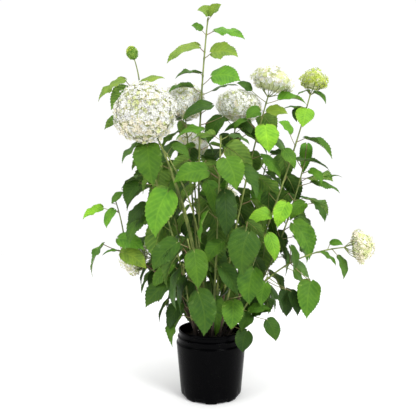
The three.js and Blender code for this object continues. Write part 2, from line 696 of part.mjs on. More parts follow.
const parts = canes.map((cane, key) => {
  const gap = CLEARANCE / cane.foot.distanceTo(cane.tip);
  const bare = caneSolid(cane, 0, leafyFrom(cane), 3, 6, true);
  let stem = caneSolid(cane, leafyFrom(cane) + gap, 1, 5, 4, false);
  const shoot = cane.shoot && shootOf(cane);
  if (shoot) stem = stem.add(caneSolid(shoot, 0, 1, 3, 3, false));
  const bearer = shoot?.head ? shoot : cane;
  if (bearer.head) stem = stem.add(headSolid(bearer, key));
  stand("cane_" + cane.name, bare);
  stand("foliage_" + cane.name, stem);
  return { cane, bare, stem, shoot };
});
for (const part of parts) {
  const owner = "foliage_" + part.cane.name;
  part.mass = addSetLeaves(part.stem, part.cane, owner);
  if (part.shoot) part.mass = addSetLeaves(part.mass, part.shoot, owner);
}
parts.forEach((part, key) => {
  part.mass = addLeaves(part.mass, part.cane, key, "foliage_" + part.cane.name);
});

addNode("pot", pot, MATERIALS.plastic);
addNode("potting_mix", soil, MATERIALS.soil);
for (const { cane, bare, mass } of parts) {
  addNode("cane_" + cane.name, bare, MATERIALS.cane);
  addNode("foliage_" + cane.name, mass, cane.head ? MATERIALS.blooming : MATERIALS.leaf);
}

export default root;
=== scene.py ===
import math

import bpy
import numpy as np
from mathutils.kdtree import KDTree
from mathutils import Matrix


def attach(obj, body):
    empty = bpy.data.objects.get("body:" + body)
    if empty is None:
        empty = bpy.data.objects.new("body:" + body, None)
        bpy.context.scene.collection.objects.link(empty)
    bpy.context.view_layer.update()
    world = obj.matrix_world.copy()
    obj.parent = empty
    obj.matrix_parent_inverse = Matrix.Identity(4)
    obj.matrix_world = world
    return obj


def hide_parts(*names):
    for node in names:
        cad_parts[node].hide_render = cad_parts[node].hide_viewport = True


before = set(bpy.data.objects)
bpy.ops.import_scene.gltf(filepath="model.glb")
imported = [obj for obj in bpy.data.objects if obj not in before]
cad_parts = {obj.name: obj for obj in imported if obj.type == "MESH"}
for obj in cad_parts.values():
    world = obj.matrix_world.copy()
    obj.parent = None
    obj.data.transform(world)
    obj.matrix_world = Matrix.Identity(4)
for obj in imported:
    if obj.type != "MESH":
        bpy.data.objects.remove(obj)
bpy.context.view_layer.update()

# ---- Camera, floor and light ---------------------------------------------------------------------
# The pot stands on a plain pale sweep. The camera is level, 1.5 m in front of the pot and at the height
# of the crown's middle. The light is a bright room, with a soft panel on each side and one above.

IMAGE_WIDTH = 416
FOCAL_PIXELS = 450
WHITE_SWEEP = 1.02  # brightness of the backdrop itself, which is plain white from every side

camera_data = bpy.data.cameras.new("camera")
camera_data.sensor_width = 36
camera_data.lens = 36 * FOCAL_PIXELS / IMAGE_WIDTH
camera = bpy.data.objects.new("camera", camera_data)
bpy.context.scene.collection.objects.link(camera)
camera.location = (-0.01, -1.5, 0.615)
camera.rotation_euler = (math.radians(90), 0, 0)
bpy.context.scene.camera = camera


def linear(hex_colour):
    """The linear RGBA of an sRGB hex colour."""
    parts = [int(hex_colour[i : i + 2], 16) / 255 for i in (1, 3, 5)]
    return [c / 12.92 if c <= 0.04045 else ((c + 0.055) / 1.055) ** 2.4 for c in parts] + [1]


def add(material, kind, inputs=None, **settings):
    """Adds a node to a material or world. An input is given a plain value, or a socket to be linked."""
    tree = material.node_tree
    made = tree.nodes.new(kind)
    for name, value in settings.items():
        setattr(made, name, value)
    for name, value in (inputs or {}).items():
        if isinstance(value, bpy.types.NodeSocket):
            tree.links.new(value, made.inputs[name])
        else:
            made.inputs[name].default_value = value
    return made


def new_material(name, **values):
    """A material of that name and its Principled shader, with plain values on the shader's sockets."""
    material = bpy.data.materials.new(name)
    material.use_nodes = True
    shader = material.node_tree.nodes["Principled BSDF"]
    for key, value in values.items():
        shader.inputs[key.replace("_", " ")].default_value = value
    return material, shader


def deselect():
    """Leaves nothing selected, so that an operator acts only on what is added next."""
    if bpy.context.object and bpy.context.object.mode != "OBJECT":
        bpy.ops.object.mode_set(mode="OBJECT")
    bpy.ops.object.select_all(action="DESELECT")


deselect()
bpy.ops.mesh.primitive_plane_add(size=9, location=(0, 0, 0))
floor = bpy.context.object
floor.name = "floor"
paper, paper_shader = new_material("painted_studio_floor", Roughness=0.9)
paper_shader.inputs["Base Color"].default_value = linear("#FAFAFA")
floor.data.materials.append(paper)

world = bpy.data.worlds.new("bright_room")
world.use_nodes = True
bpy.context.scene.world = world
room = world.node_tree.nodes["Background"]
room.inputs["Color"].default_value = (1, 1, 1, 1)
heading = add(world, "ShaderNodeTexCoord").outputs["Generated"]
towards = add(
    world, "ShaderNodeVectorMath", {0: heading, 1: (0, 0.5, 0.87)}, operation="DOT_PRODUCT"
).outputs["Value"]
lit_wall = add(
    world, "ShaderNodeMapRange",
    {"Value": towards, "From Min": -0.3, "From Max": 0.42, "To Min": 0.22, "To Max": 1.12},
)
seen = add(world, "ShaderNodeLightPath").outputs["Is Camera Ray"]
strength = add(
    world, "ShaderNodeMix", {"Factor": seen, "A": lit_wall.outputs[0], "B": WHITE_SWEEP}, data_type="FLOAT"
)
world.node_tree.links.new(strength.outputs[0], room.inputs["Strength"])
bpy.context.scene.view_settings.view_transform = "Standard"


def add_panel(name, place, target, size, power):
    """A soft light panel at a place, facing a target."""
    light = bpy.data.lights.new(name, "AREA")
    light.shape = "RECTANGLE"
    light.size, light.size_y = size
    light.energy = power
    panel = bpy.data.objects.new(name, light)
    bpy.context.scene.collection.objects.link(panel)
    panel.location = place
    away = np.array(place, float) - np.array(target, float)
    level = math.hypot(away[0], away[1])
    panel.rotation_euler = (math.atan2(level, away[2]), 0, math.atan2(away[0], -away[1]))


add_panel("panel_right", (1.6, -2.1, 2.2), (0, 0, 0.6), (1.0, 1.0), 66)
add_panel("panel_left", (-2.0, -1.5, 1.5), (0, 0, 0.6), (1.0, 1.4), 20)
add_panel("panel_top", (0.1, 0.0, 3.0), (0, 0, 0.6), (1.8, 1.8), 16)

# ---- Nursery pot ---------------------------------------------------------------------------------
# A blow-moulded HDPE nursery container, near black, with a stepped collar round its mouth and eight
# short feet with drainage notches between them. One wall, spun round the pot's axis from its section.

POT_STEPS = 192
POT_NOTCHES = 8
NOTCH_DEGREES = 21
NOTCH_FLANK_DEGREES = 2.4
NOTCH_TOP = 10.4  # mm over the floor
HEEL_RADIUS = 83  # mm, where the notches begin
HEEL_FADE = 6  # mm over which they reach their full height
# radius and height in mm, from the middle of the underside round the outside and back down the inside
POT_SECTION = [
    (0, 3), (60, 3), (82, 2.4), (86, 0.4), (92, 0), (94.5, 0.8), (96.5, 3.5), (98, 7), (99.4, 11.5),
    (100.3, 16), (103, 45), (105.8, 75), (108.6, 105), (111.4, 135), (113.6, 160), (114.8, 169.5),
    (115, 171.8), (114.7, 173.8), (113.6, 175.2), (111.4, 176), (110.4, 177.4), (110.2, 180),
    (110.3, 189.6), (110.9, 191), (110.7, 193), (109.6, 194.4), (107.2, 195.2), (105.8, 196.4),
    (105.5, 199), (105.5, 205.4), (106.2, 206.8), (107.6, 208), (108, 209.6), (108, 213.6), (107.2, 215.4),
    (105.8, 216), (104.2, 215.4), (103.3, 213.4), (103.1, 200), (103.1, 179), (106, 174.5), (111.2, 171),
    (112, 165), (105.4, 90), (98.4, 12), (95, 5.4), (86, 4.6), (0, 4.6),
]


def spin_round(name, section, steps):
    """A closed solid spun about +Z from a section of (radius, height) in mm that starts and ends on it."""
    mesh = bpy.data.meshes.new(name)
    points = [(r / 1000, 0, z / 1000) for r, z in section]
    mesh.from_pydata(points, [(i, i + 1) for i in range(len(points) - 1)], [])
    piece = bpy.data.objects.new(name, mesh)
    bpy.context.scene.collection.objects.link(piece)
    deselect()
    piece.select_set(True)
    bpy.context.view_layer.objects.active = piece
    bpy.ops.object.mode_set(mode="EDIT")
    bpy.ops.mesh.select_all(action="SELECT")
    bpy.ops.mesh.spin(steps=steps, angle=math.tau, center=(0, 0, 0), axis=(0, 0, 1))
    bpy.ops.mesh.select_all(action="SELECT")
    bpy.ops.mesh.remove_doubles(threshold=1e-5)
    bpy.ops.mesh.normals_make_consistent(inside=False)
    bpy.ops.object.mode_set(mode="OBJECT")
    return piece


def coordinates(mesh):
    """A mesh's points in mm, one row each."""
    flat = np.empty(3 * len(mesh.vertices))
    mesh.vertices.foreach_get("co", flat)
    return flat.reshape(-1, 3) * 1000


def set_coordinates(mesh, points):
    """Puts a mesh's points, in mm, back."""
    mesh.vertices.foreach_set("co", (points / 1000).ravel())
    mesh.update()


pot = spin_round("nursery_pot", POT_SECTION, POT_STEPS)
points = coordinates(pot.data)
radius = np.hypot(points[:, 0], points[:, 1])
angle = np.degrees(np.arctan2(points[:, 1], points[:, 0])) + 90
pitch = 360 / POT_NOTCHES
off_notch = np.abs((angle % pitch) - pitch / 2)  # degrees from the nearest notch's middle
open_share = np.clip((NOTCH_DEGREES / 2 - off_notch) / NOTCH_FLANK_DEGREES + 0.5, 0, 1)
outside = (points[:, 2] < 12) & (points[:, 2] < 4.5 + (radius - 95) * 4)  # and not the wall's inner face
outer_heel = (radius > HEEL_RADIUS) & (outside | (points[:, 2] < 1))
reach_in = np.clip((radius - HEEL_RADIUS) / HEEL_FADE, 0, 1) * open_share * outer_heel
points[:, 2] += reach_in * np.maximum(0, NOTCH_TOP - points[:, 2]) * 0.96
points[:, :2] *= (1 - 0.035 * reach_in)[:, None]
set_coordinates(pot.data, points)
bpy.ops.object.shade_smooth_by_angle(angle=math.radians(38))

# Black HDPE: satin, with the faint orange peel of a blown wall, and dust and scuffs where it is handled.
hdpe, shader = new_material("blow_moulded_black_hdpe", IOR=1.52, Specular_IOR_Level=0.03)
place = add(hdpe, "ShaderNodeTexCoord").outputs["Object"]
dust = add(hdpe, "ShaderNodeTexNoise", {"Vector": place, "Scale": 1 / 0.035, "Detail": 6, "Roughness": 0.62})
dust_share = add(
    hdpe, "ShaderNodeMapRange",
    {"Value": dust.outputs["Fac"], "From Min": 0.52, "From Max": 0.78, "To Min": 0.0, "To Max": 0.022},
)
pot_colour = add(
    hdpe, "ShaderNodeMix", {"Factor": dust_share.outputs[0], "A": linear("#020203"), "B": linear("#38383A")},
    data_type="RGBA",
)
hdpe.node_tree.links.new(pot_colour.outputs["Result"], shader.inputs["Base Color"])
scuff = add(
    hdpe, "ShaderNodeMapRange",
    {"Value": dust.outputs["Fac"], "From Min": 0.3, "From Max": 0.8, "To Min": 0.2, "To Max": 0.34},
)
hdpe.node_tree.links.new(scuff.outputs[0], shader.inputs["Roughness"])
peel = add(hdpe, "ShaderNodeTexNoise", {"Vector": place, "Scale": 1 / 0.004, "Detail": 3})
wave = add(hdpe, "ShaderNodeTexNoise", {"Vector": place, "Scale": 1 / 0.06, "Detail": 1})
both = add(
    hdpe, "ShaderNodeMath", {0: peel.outputs["Fac"], 1: 0.12, 2: wave.outputs["Fac"]},
    operation="MULTIPLY_ADD",
)
relief = add(hdpe, "ShaderNodeBump", {"Height": both.outputs[0], "Strength": 0.35, "Distance": 0.0015})
hdpe.node_tree.links.new(relief.outputs[0], shader.inputs["Normal"])
pot.data.materials.append(hdpe)
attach(pot, "root")
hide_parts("pot")

# ---- Potting mix ---------------------------------------------------------------------------------
# Moist composted bark, filled to 20 mm under the rim: an uneven crumbly surface with loose chips of
# pine bark and a few white grains of perlite lying on it.

MIX_LEVEL = 190
MIX_RADIUS = 102.6
MIX_DISH = 4  # mm that the surface falls towards the wall
MIX_SWELLS = 2.2  # mm, height of the surface's broad swells
SWELL_SIZE = 26
CHIPS = 420
CHIP_REACH = 98
GRAIN_EVERY = 14  # one chip in so many is a grain of perlite
SEED = 2617


def chance(*keys):
    """The same number from 0 to 1 for the same keys."""
    h = SEED
    for key in keys:
        h = ((h ^ (key + 0x9E37)) * 0x85EBCA6B) & 0xFFFFFFFF
        h ^= h >> 13
    h = (h * 0xC2B2AE35) & 0xFFFFFFFF
    return (h ^ (h >> 16)) / 2**32


def spread(*keys):
    """The same number from -1 to 1 for the same keys."""
    return 2 * chance(*keys) - 1


def rolling(x, y, size):
    """A gentle uneven height from -1 to 1 over a plane, with swells of that size."""
    a, b = x / size, y / size
    return (
        np.sin(a * 2.1 + 1.3) * np.cos(b * 1.7 - 0.4)
        + 0.6 * np.sin(a * 4.3 - b * 3.1 + 2.0)
        + 0.4 * np.cos(a * 7.9 + b * 6.7)
    ) / 2


mix_section = [(0, MIX_LEVEL - 30), (MIX_RADIUS - 4, MIX_LEVEL - 30), (MIX_RADIUS, MIX_LEVEL - 8)]
mix_section += [(MIX_RADIUS * k / 26, MIX_LEVEL - 2) for k in range(26, -1, -1)]
potting_mix = spin_round("potting_mix_surface", mix_section, 96)
points = coordinates(potting_mix.data)
top = points[:, 2] > MIX_LEVEL - 5
radius = np.hypot(points[:, 0], points[:, 1])
points[top, 2] += (
    MIX_SWELLS * rolling(points[top, 0], points[top, 1], SWELL_SIZE)
    + 1.2 * rolling(points[top, 1], points[top, 0], 7)
    - MIX_DISH * (radius[top] / MIX_RADIUS) ** 4
)
set_coordinates(potting_mix.data, points)


def build(name, points, faces, materials, kinds=None, maps=None, smooth=True):
    """A piece from points in mm and lists of faces. kinds gives each face's material, and maps its UVs."""
    mesh = bpy.data.meshes.new(name)
    mesh.from_pydata((np.asarray(points) / 1000).tolist(), [], faces)
    for material in materials:
        mesh.materials.append(material)
    if kinds is not None:
        mesh.polygons.foreach_set("material_index", np.asarray(kinds, dtype=np.int32))
    mesh.polygons.foreach_set("use_smooth", np.full(len(mesh.polygons), smooth))
    corners = np.empty(len(mesh.loops), dtype=np.int32)
    mesh.loops.foreach_get("vertex_index", corners)
    for map_name, uv in (maps or {}).items():
        layer = mesh.uv_layers.new(name=map_name)
        layer.data.foreach_set("uv", np.asarray(uv, dtype=np.float32)[corners].ravel())
    mesh.update()
    piece = bpy.data.objects.new(name, mesh)
    bpy.context.scene.collection.objects.link(piece)
    return piece


# One chip: a split flake of bark, a skewed block with a broken upper face.
CHIP = np.array([
    (-1, -0.5, -0.2), (0.9, -0.6, -0.2), (1, 0.5, -0.2), (-0.8, 0.6, -0.2),
    (-0.8, -0.4, 0.3), (0.7, -0.5, 0.2), (0.8, 0.4, 0.35), (-0.9, 0.4, 0.15),
])
CHIP_FACES = [(3, 2, 1, 0), (4, 5, 6, 7), (0, 1, 5, 4), (1, 2, 6, 5), (2, 3, 7, 6), (3, 0, 4, 7)]


def turned(points, turn, tilt, roll):
    """Points turned by roll about X, tilt about Y and then turn about Z."""
    cr, sr, ct, st, cz, sz = (f(a) for a in (roll, tilt, turn) for f in (math.cos, math.sin))
    about_x = np.array([[1, 0, 0], [0, cr, -sr], [0, sr, cr]])
    about_y = np.array([[ct, 0, st], [0, 1, 0], [-st, 0, ct]])
    about_z = np.array([[cz, -sz, 0], [sz, cz, 0], [0, 0, 1]])
    return points @ (about_z @ about_y @ about_x).T


chip_points, chip_faces, chip_kinds = [], [], []
for k in range(CHIPS):
    away = CHIP_REACH * math.sqrt(chance(901, k))
    heading = math.tau * chance(902, k)
    x, y = away * math.cos(heading), away * math.sin(heading)
    grain = k % GRAIN_EVERY == 0
    size = 2.2 if grain else 2.6 + 6 * chance(903, k) ** 2
    shape = CHIP * (size, size * (0.9 if grain else 0.6), size * (0.9 if grain else 0.5))
    shape = turned(shape, math.tau * chance(904, k), 0.5 * spread(905, k), 0.5 * spread(906, k))
    z = MIX_LEVEL - 1 + MIX_SWELLS * rolling(x, y, SWELL_SIZE) - MIX_DISH * (away / MIX_RADIUS) ** 4
    chip_faces += [tuple(i + 8 * k for i in face) for face in CHIP_FACES]
    chip_points.append(shape + (x, y, z))
    chip_kinds += [1 if grain else 0] * 6

bark_mix, shader = new_material("composted_bark", Roughness=0.95)
place = add(bark_mix, "ShaderNodeTexCoord").outputs["Object"]
crumb = add(
    bark_mix, "ShaderNodeTexNoise", {"Vector": place, "Scale": 1 / 0.005, "Detail": 8, "Roughness": 0.7}
)
mix_colour = add(bark_mix, "ShaderNodeValToRGB", {"Fac": crumb.outputs["Fac"]})
for stop, (share, colour) in zip(mix_colour.color_ramp.elements, ((0.35, "#0F0A07"), (0.72, "#3C2A1D"))):
    stop.position, stop.color = share, linear(colour)
bark_mix.node_tree.links.new(mix_colour.outputs["Color"], shader.inputs["Base Color"])
relief = add(bark_mix, "ShaderNodeBump", {"Height": crumb.outputs["Fac"], "Strength": 0.9, "Distance": 0.002})
bark_mix.node_tree.links.new(relief.outputs[0], shader.inputs["Normal"])
perlite, shader = new_material("perlite", Roughness=0.9)
place = add(perlite, "ShaderNodeTexCoord").outputs["Object"]
foam = add(perlite, "ShaderNodeTexNoise", {"Vector": place, "Scale": 1 / 0.0012})
perlite_colour = add(
    perlite, "ShaderNodeMix", {"Factor": foam.outputs["Fac"], "A": linear("#B9B2A4"), "B": linear("#EDEAE2")},
    data_type="RGBA",
)
perlite.node_tree.links.new(perlite_colour.outputs["Result"], shader.inputs["Base Color"])
potting_mix.data.materials.append(bark_mix)
chips = build(
    "bark_chips", np.concatenate(chip_points), chip_faces, [bark_mix, perlite], chip_kinds, smooth=False
)
for piece in (potting_mix, chips):
    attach(piece, "root")
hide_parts("potting_mix")

# ---- Canes ---------------------------------------------------------------------------------------
# The clump's woody canes rise from the mix and lean outwards. Each is one tapering limb with a swelling
# at every joint. Low down it has thin tan-brown bark that splits lengthwise, and above that it is green.

# foot is where a cane leaves the mix, and mid and tip are points on its axis, in mm. The leaf pairs
# stand from share start to share end of its length, the first turned by twist and each next one by turn.
# droop is how far the lowest and the highest leaves hang, in degrees, and shed is a stretch without any.
CANES = [
    dict(name="tall", foot=(-18, -12), mid=(-40, -20, 720), tip=(-10, -22, 1240), radius=4.2,
         pairs=7, start=0.14, end=0.58, blade=124, twist=-78, turn=96, droop=(66, 50)),
    dict(name="ball", foot=(-30, -38), mid=(-60, -104, 520), tip=(-160, -170, 822), radius=4,
         pairs=8, start=0.16, end=0.93, blade=132, twist=8, turn=52, droop=(72, 56),
         shed=(0.5, 0.84), head=("ball", 190, 178)),
    dict(name="bud", foot=(-12, -24), mid=(-92, -50, 612), tip=(-240, -50, 992), radius=3.8,
         pairs=7, start=0.2, end=0.985, blade=118, twist=60, turn=96, droop=(66, 20), young=0.1,
         shed=(0.5, 0.8),
         shoot=dict(start_at=0.97, tip=(-248, -50, 1096), pairs=0, head=("bud", 40, 46))),
    dict(name="rear_left", foot=(-24, 18), mid=(-60, 48, 600), tip=(-88, 66, 925), radius=4,
         pairs=10, start=0.14, end=0.95, blade=124, twist=20, turn=84, droop=(66, 34),
         head=("ball", 150, 132)),
    dict(name="centre_right", foot=(10, 26), mid=(46, 66, 600), tip=(90, 84, 922), radius=4,
         pairs=9, start=0.16, end=0.95, blade=124, twist=65, turn=84, droop=(66, 34),
         head=("ball", 166, 114)),
    dict(name="upper_right", foot=(22, 6), mid=(98, 24, 612), tip=(196, 32, 1000), radius=4,
         pairs=9, start=0.2, end=0.96, blade=122, twist=40, turn=88, droop=(66, 22),
         head=("dome", 160, 68)),
    dict(name="lime", foot=(36, -4), mid=(206, 16, 596), tip=(342, 40, 1010), radius=3.8,
         pairs=8, start=0.2, end=0.76, blade=120, twist=10, turn=80, droop=(66, 48), young=0.1,
         head=("dome", 106, 58)),
    dict(name="right", foot=(48, 22), mid=(206, 46, 430), tip=(322, 42, 776), radius=3.6,
         pairs=7, start=0.42, end=0.98, blade=124, twist=30, turn=145, droop=(60, 4), young=0.2),
    dict(name="low_right", foot=(46, -30), mid=(206, -44, 404), tip=(428, -70, 490), radius=3.2,
         pairs=0, start=0.44,
         head=("dome", 112, 62)),
    dict(name="low_left", foot=(-46, -8), mid=(-150, -18, 372), tip=(-306, -22, 476), radius=3.8,
         pairs=0, start=0.8,
         shoot=dict(name="low_left_shoot", start_at=0.93, tip=(-312, -26, 636), pairs=0)),
    dict(name="left", foot=(-42, -32), mid=(-106, -76, 470), tip=(-196, -92, 770), radius=3.8,
         pairs=8, start=0.3, end=0.98, blade=132, twist=75, turn=82, droop=(70, 46)),
    dict(name="front_left", foot=(-16, -54), mid=(-44, -150, 386), tip=(-68, -226, 528), radius=3.6,
         pairs=6, start=0.36, end=0.98, blade=128, twist=60, turn=84, droop=(74, 58)),
    dict(name="front_right", foot=(24, -50), mid=(62, -140, 396), tip=(102, -200, 560), radius=3.6,
         pairs=6, start=0.34, end=0.98, blade=124, twist=15, turn=84, droop=(74, 58)),
    dict(name="front", foot=(3, -62), mid=(16, -142, 500), tip=(28, -164, 830), radius=3.8,
         pairs=9, start=0.2, end=0.98, blade=122, twist=40, turn=82, droop=(72, 40)),
    dict(name="pot_left", foot=(-48, -46), mid=(-72, -96, 330), tip=(-86, -132, 446), radius=3.2,
         pairs=5, start=0.27, end=0.96, blade=112, twist=60, turn=80, droop=(72, 60)),
    dict(name="pot_right", foot=(50, -46), mid=(106, -92, 306), tip=(176, -118, 404), radius=3.2,
         pairs=6, start=0.2, end=0.96, blade=112, twist=55, turn=80, droop=(70, 58),
         shed=(0.1, 0.48)),
    dict(name="low_rear_left", foot=(-52, 16), mid=(-130, 52, 376), tip=(-206, 76, 440), radius=3.4,
         pairs=5, start=0.34, end=0.86, blade=110, twist=25, turn=84, droop=(70, 56),
         head=("dome", 134, 84)),
    dict(name="rear_upper_left", foot=(-34, 42), mid=(-120, 106, 540), tip=(-192, 150, 812), radius=3.8,
         pairs=9, start=0.18, end=0.98, blade=124, twist=50, turn=84, droop=(66, 38)),
    dict(name="rear", foot=(-10, 50), mid=(-44, 132, 520), tip=(-68, 192, 802), radius=3.8,
         pairs=9, start=0.14, end=0.95, blade=120, twist=10, turn=84, droop=(66, 38),
         head=("ball", 130, 116)),
    dict(name="rear_right", foot=(40, 44), mid=(132, 124, 508), tip=(214, 184, 804), radius=3.8,
         pairs=10, start=0.16, end=0.98, blade=122, twist=70, turn=84, droop=(66, 38)),
    dict(name="low_rear", foot=(14, 62), mid=(34, 190, 420), tip=(48, 282, 612), radius=3.6,
         pairs=8, start=0.16, end=0.95, blade=118, twist=40, turn=84, droop=(70, 44),
         head=("dome", 124, 74)),
]
# Leaves set one by one on the plant's front: the cane, the share of its length where the petiole springs,
# the blade's base and tip, how far it turns its face to the front, its tint in TINTS, and its width
# over its length.
# A set leaf's tint is partly painted light and shade: leaves in shade take the dark tints and lit ones the
# bright.
SET_LEAVES = [
    ("tall", 0.99, (-5, -24, 1250), (-46, -34, 1260), 1, 6, 1.32),
    ("tall", 0.99, (1, -30, 1237), (32, -46, 1268), 0.8, 6, 1.1),
    ("tall", 0.945, (-31, -32, 1196), (-63, -44, 1207), 1, 2, 1.15),
    ("tall", 0.945, (12, -22, 1198), (113, -36, 1171), 0.8, 1, 0.46),
    ("tall", 0.89, (-41, -22, 1146), (-149, -36, 1090), 0.75, 6, 0.56),
    ("tall", 0.87, (2, -28, 1123), (88, -58, 1108), 1, 6, 0.92),
    ("tall", 0.815, (-35, -22, 1058), (-123, -42, 1039), 0.35, 3, 0.62),
    ("tall", 0.785, (4, -52, 1040), (93, -78, 1023), 1, 1, 0.95),
    ("tall", 0.76, (-61, -22, 1012), (-142, -48, 990), 0.4, 3, 0.5),
    ("tall", 0.755, (7, -12, 1005), (93, 2, 1029), 0.3, 3, 0.64),
    ("tall", 0.695, (2, -45, 948), (-94, -69, 895), 0.6, 4, 0.6),
    ("tall", 0.66, (36, -21, 914), (-10, -41, 826), 0.7, 4, 0.64),
    ("tall", 0.615, (-24, -57, 865), (-118, -77, 838), 0.45, 1, 0.62),
    ("bud", 0.99, (-279, -50, 1029), (-369, -62, 960), 0.6, 6, 0.5),
    ("bud", 0.99, (-226, -50, 1017), (-148, -58, 1037), 0.6, 6, 0.64),
    ("ball", 0.95, (-188, -177, 799), (-181, -203, 676), 1, 3, 0.66),
    ("ball", 0.97, (-209, -166, 808), (-269, -176, 747), 0.35, 3, 0.64),
    ("ball", 0.91, (-118, -148, 801), (-64, -162, 764), 0.6, 3, 0.64),
    ("front", 0.81, (-10, -174, 725), (-112, -204, 693), 1, 2, 0.68),
    ("front", 0.865, (42, -194, 759), (71, -228, 666), 1, 2, 0.78),
    ("front", 0.725, (40, -173, 662), (42, -195, 525), 1, 5, 0.47),
    ("front", 0.505, (32, -153, 514), (-16, -173, 450), 0.8, 3, 0.64),
    ("left", 0.765, (-128, -158, 666), (-165, -184, 527), 1, 1, 0.65),
    ("left", 0.865, (-225, -100, 694), (-262, -116, 621), 0.6, 4, 0.64),
    ("left", 0.745, (-199, -107, 624), (-257, -125, 563), 0.7, 5, 0.64),
    ("front_left", 0.89, (-97, -223, 517), (-167, -239, 438), 1, 4, 0.62),
    ("front_left", 0.825, (-49, -226, 492), (-41, -250, 388), 1, 3, 0.62),
    ("front_left", 0.425, (-40, -173, 368), (-16, -193, 240), 1, 4, 0.61),
    ("front", 0.385, (28, -169, 442), (74, -191, 359), 1, 4, 0.56),
    ("front_right", 0.325, (66, -136, 333), (66, -156, 249), 1, 2, 0.8),
    ("front_right", 0.82, (109, -196, 545), (82, -222, 420), 1, 4, 0.7),
    ("front_right", 0.585, (124, -176, 436), (106, -198, 333), 1, 3, 0.72),
    ("front_right", 0.34, (150, -90, 355), (108, -102, 273), 0.9, 5, 0.64),
    ("upper_right", 0.965, (136, 26, 1015), (88, 16, 1039), 1, 4, 0.64),
    ("pot_right", 0.815, (166, -111, 387), (154, -121, 316), 0.8, 2, 0.64),
    ("pot_right", 0.2, (111, -103, 233), (95, -113, 168), 1, 5, 0.82),
    ("pot_right", 0.405, (131, -103, 283), (187, -113, 299), 0.5, 3, 0.64),
    ("pot_right", 0.425, (172, -106, 272), (195, -118, 207), 1, 4, 0.7),
    ("pot_left", 0.265, (-92, -88, 279), (-125, -100, 178), 0.15, 3, 0.5),
    ("pot_left", 0.375, (-93, -79, 314), (-137, -89, 227), 0.7, 5, 0.56),
    ("low_rear_left", 0.58, (-191, 37, 396), (-182, 21, 294), 0.6, 5, 0.64),
    ("low_rear_left", 0.935, (-223, 44, 512), (-267, 44, 464), 0.6, 4, 0.64),
    ("low_left_shoot", 0.815, (-352, -41, 615), (-412, -65, 580), 0.9, 0, 0.5),
    ("low_left_shoot", 0.78, (-313, -47, 610), (-337, -63, 550), 0.8, 1, 0.56),
    ("low_left_shoot", 0.95, (-323, -26, 631), (-285, -34, 669), 0.7, 2, 0.64),
    ("low_left", 0.96, (-300, -46, 518), (-213, -86, 486), 0.9, 1, 0.6),
    ("low_left", 0.98, (-309, -30, 476), (-356, -38, 462), 0.3, 1, 0.4),
    ("low_left", 0.99, (-353, -26, 496), (-396, -36, 387), 0.1, 2, 0.42),
    ("low_left", 0.9, (-287, -52, 473), (-208, -74, 422), 1, 6, 0.64),
    ("low_right", 0.425, (242, -35, 350), (242, -45, 259), 0.3, 5, 0.56),
    ("low_right", 0.45, (256, -54, 348), (278, -74, 271), 0.8, 5, 0.52),
    ("low_right", 0.625, (318, -65, 381), (297, -95, 267), 1, 2, 0.62),
    ("low_right", 0.58, (273, -41, 409), (309, -51, 330), 0.3, 3, 0.64),
    ("low_right", 0.885, (380, -63, 503), (415, -87, 500), 1, 2, 0.6),
    ("low_right", 0.915, (407, -61, 461), (428, -73, 387), 0.3, 3, 0.64),
    ("low_right", 0.815, (345, -73, 475), (394, -83, 436), 0.3, 3, 0.64),
    ("low_right", 0.62, (253, -41, 493), (263, -49, 411), 0.1, 4, 0.64),
    ("right", 0.675, (275, -2, 564), (328, -28, 446), 1, 2, 0.56),
    ("lime", 0.52, (243, -47, 632), (214, -71, 551), 1, 0, 0.66),
    ("lime", 0.46, (192, -42, 594), (112, -68, 561), 0.8, 7, 0.62),
    ("lime", 0.39, (185, -49, 531), (204, -65, 441), 1, 7, 0.52),
    ("right", 0.795, (321, 37, 632), (267, 21, 574), 0.8, 2, 0.64),
    ("right", 0.8, (350, 27, 632), (388, 17, 568), 0.4, 4, 0.64),
    ("upper_right", 0.82, (178, -20, 886), (180, -46, 793), 1, 0, 0.84),
    ("lime", 0.715, (244, 2, 809), (276, -18, 743), 0.8, 2, 0.64),
    ("ball", 0.95, (-181, -169, 795), (-245, -179, 812), 0.5, 1, 0.64),
    ("pot_right", 0.405, (125, -91, 286), (89, -101, 233), 0.8, 4, 0.7),
    ("pot_right", 0.455, (116, -119, 299), (183, -125, 309), 0.6, 3, 0.56),
    ("upper_right", 0.905, (189, 17, 939), (257, 1, 932), 0.8, 6, 0.8),
    ("upper_right", 0.89, (164, 7, 937), (116, -5, 914), 1, 2, 1.0),
    ("lime", 0.92, (305, 42, 961), (290, 36, 909), 0.7, 4, 0.7),
    ("lime", 0.915, (309, 28, 958), (237, 20, 949), 0.2, 3, 0.4),
    ("centre_right", 0.965, (108, 59, 916), (138, 45, 869), 1, 4, 0.8),
    ("centre_right", 0.92, (108, 63, 893), (45, 43, 879), 0.6, 4, 0.5),
    ("upper_right", 0.835, (121, 10, 910), (73, -6, 881), 0.6, 2, 0.64),
    ("lime", 0.9, (321, 5, 947), (308, -15, 882), 1, 7, 0.9),
    ("lime", 0.78, (262, -5, 861), (223, -21, 901), 0.8, 1, 0.8),
    ("lime", 0.99, (338, 33, 1015), (290, 25, 1001), 0.1, 3, 0.64),
    ("lime", 0.99, (351, 33, 1009), (393, 25, 969), 0.35, 3, 0.64),
    ("lime", 0.795, (318, 20, 851), (415, 10, 783), 0.35, 3, 0.5),
    ("right", 0.965, (293, 31, 777), (404, 21, 747), 0.3, 4, 0.5),
    ("right", 0.99, (341, 54, 841), (335, 40, 735), 0.6, 1, 0.42),
    ("right", 0.945, (334, 20, 743), (374, -4, 695), 0.8, 2, 0.64),
    ("right", 0.925, (388, 44, 723), (451, 36, 724), 0.15, 3, 0.4),
    ("right", 0.89, (344, 31, 703), (443, 21, 670), 0.35, 3, 0.46),
]
UP = np.array([0.0, 0.0, 1.0])


def unit(v):
    """A direction of length 1."""
    return v / np.linalg.norm(v)


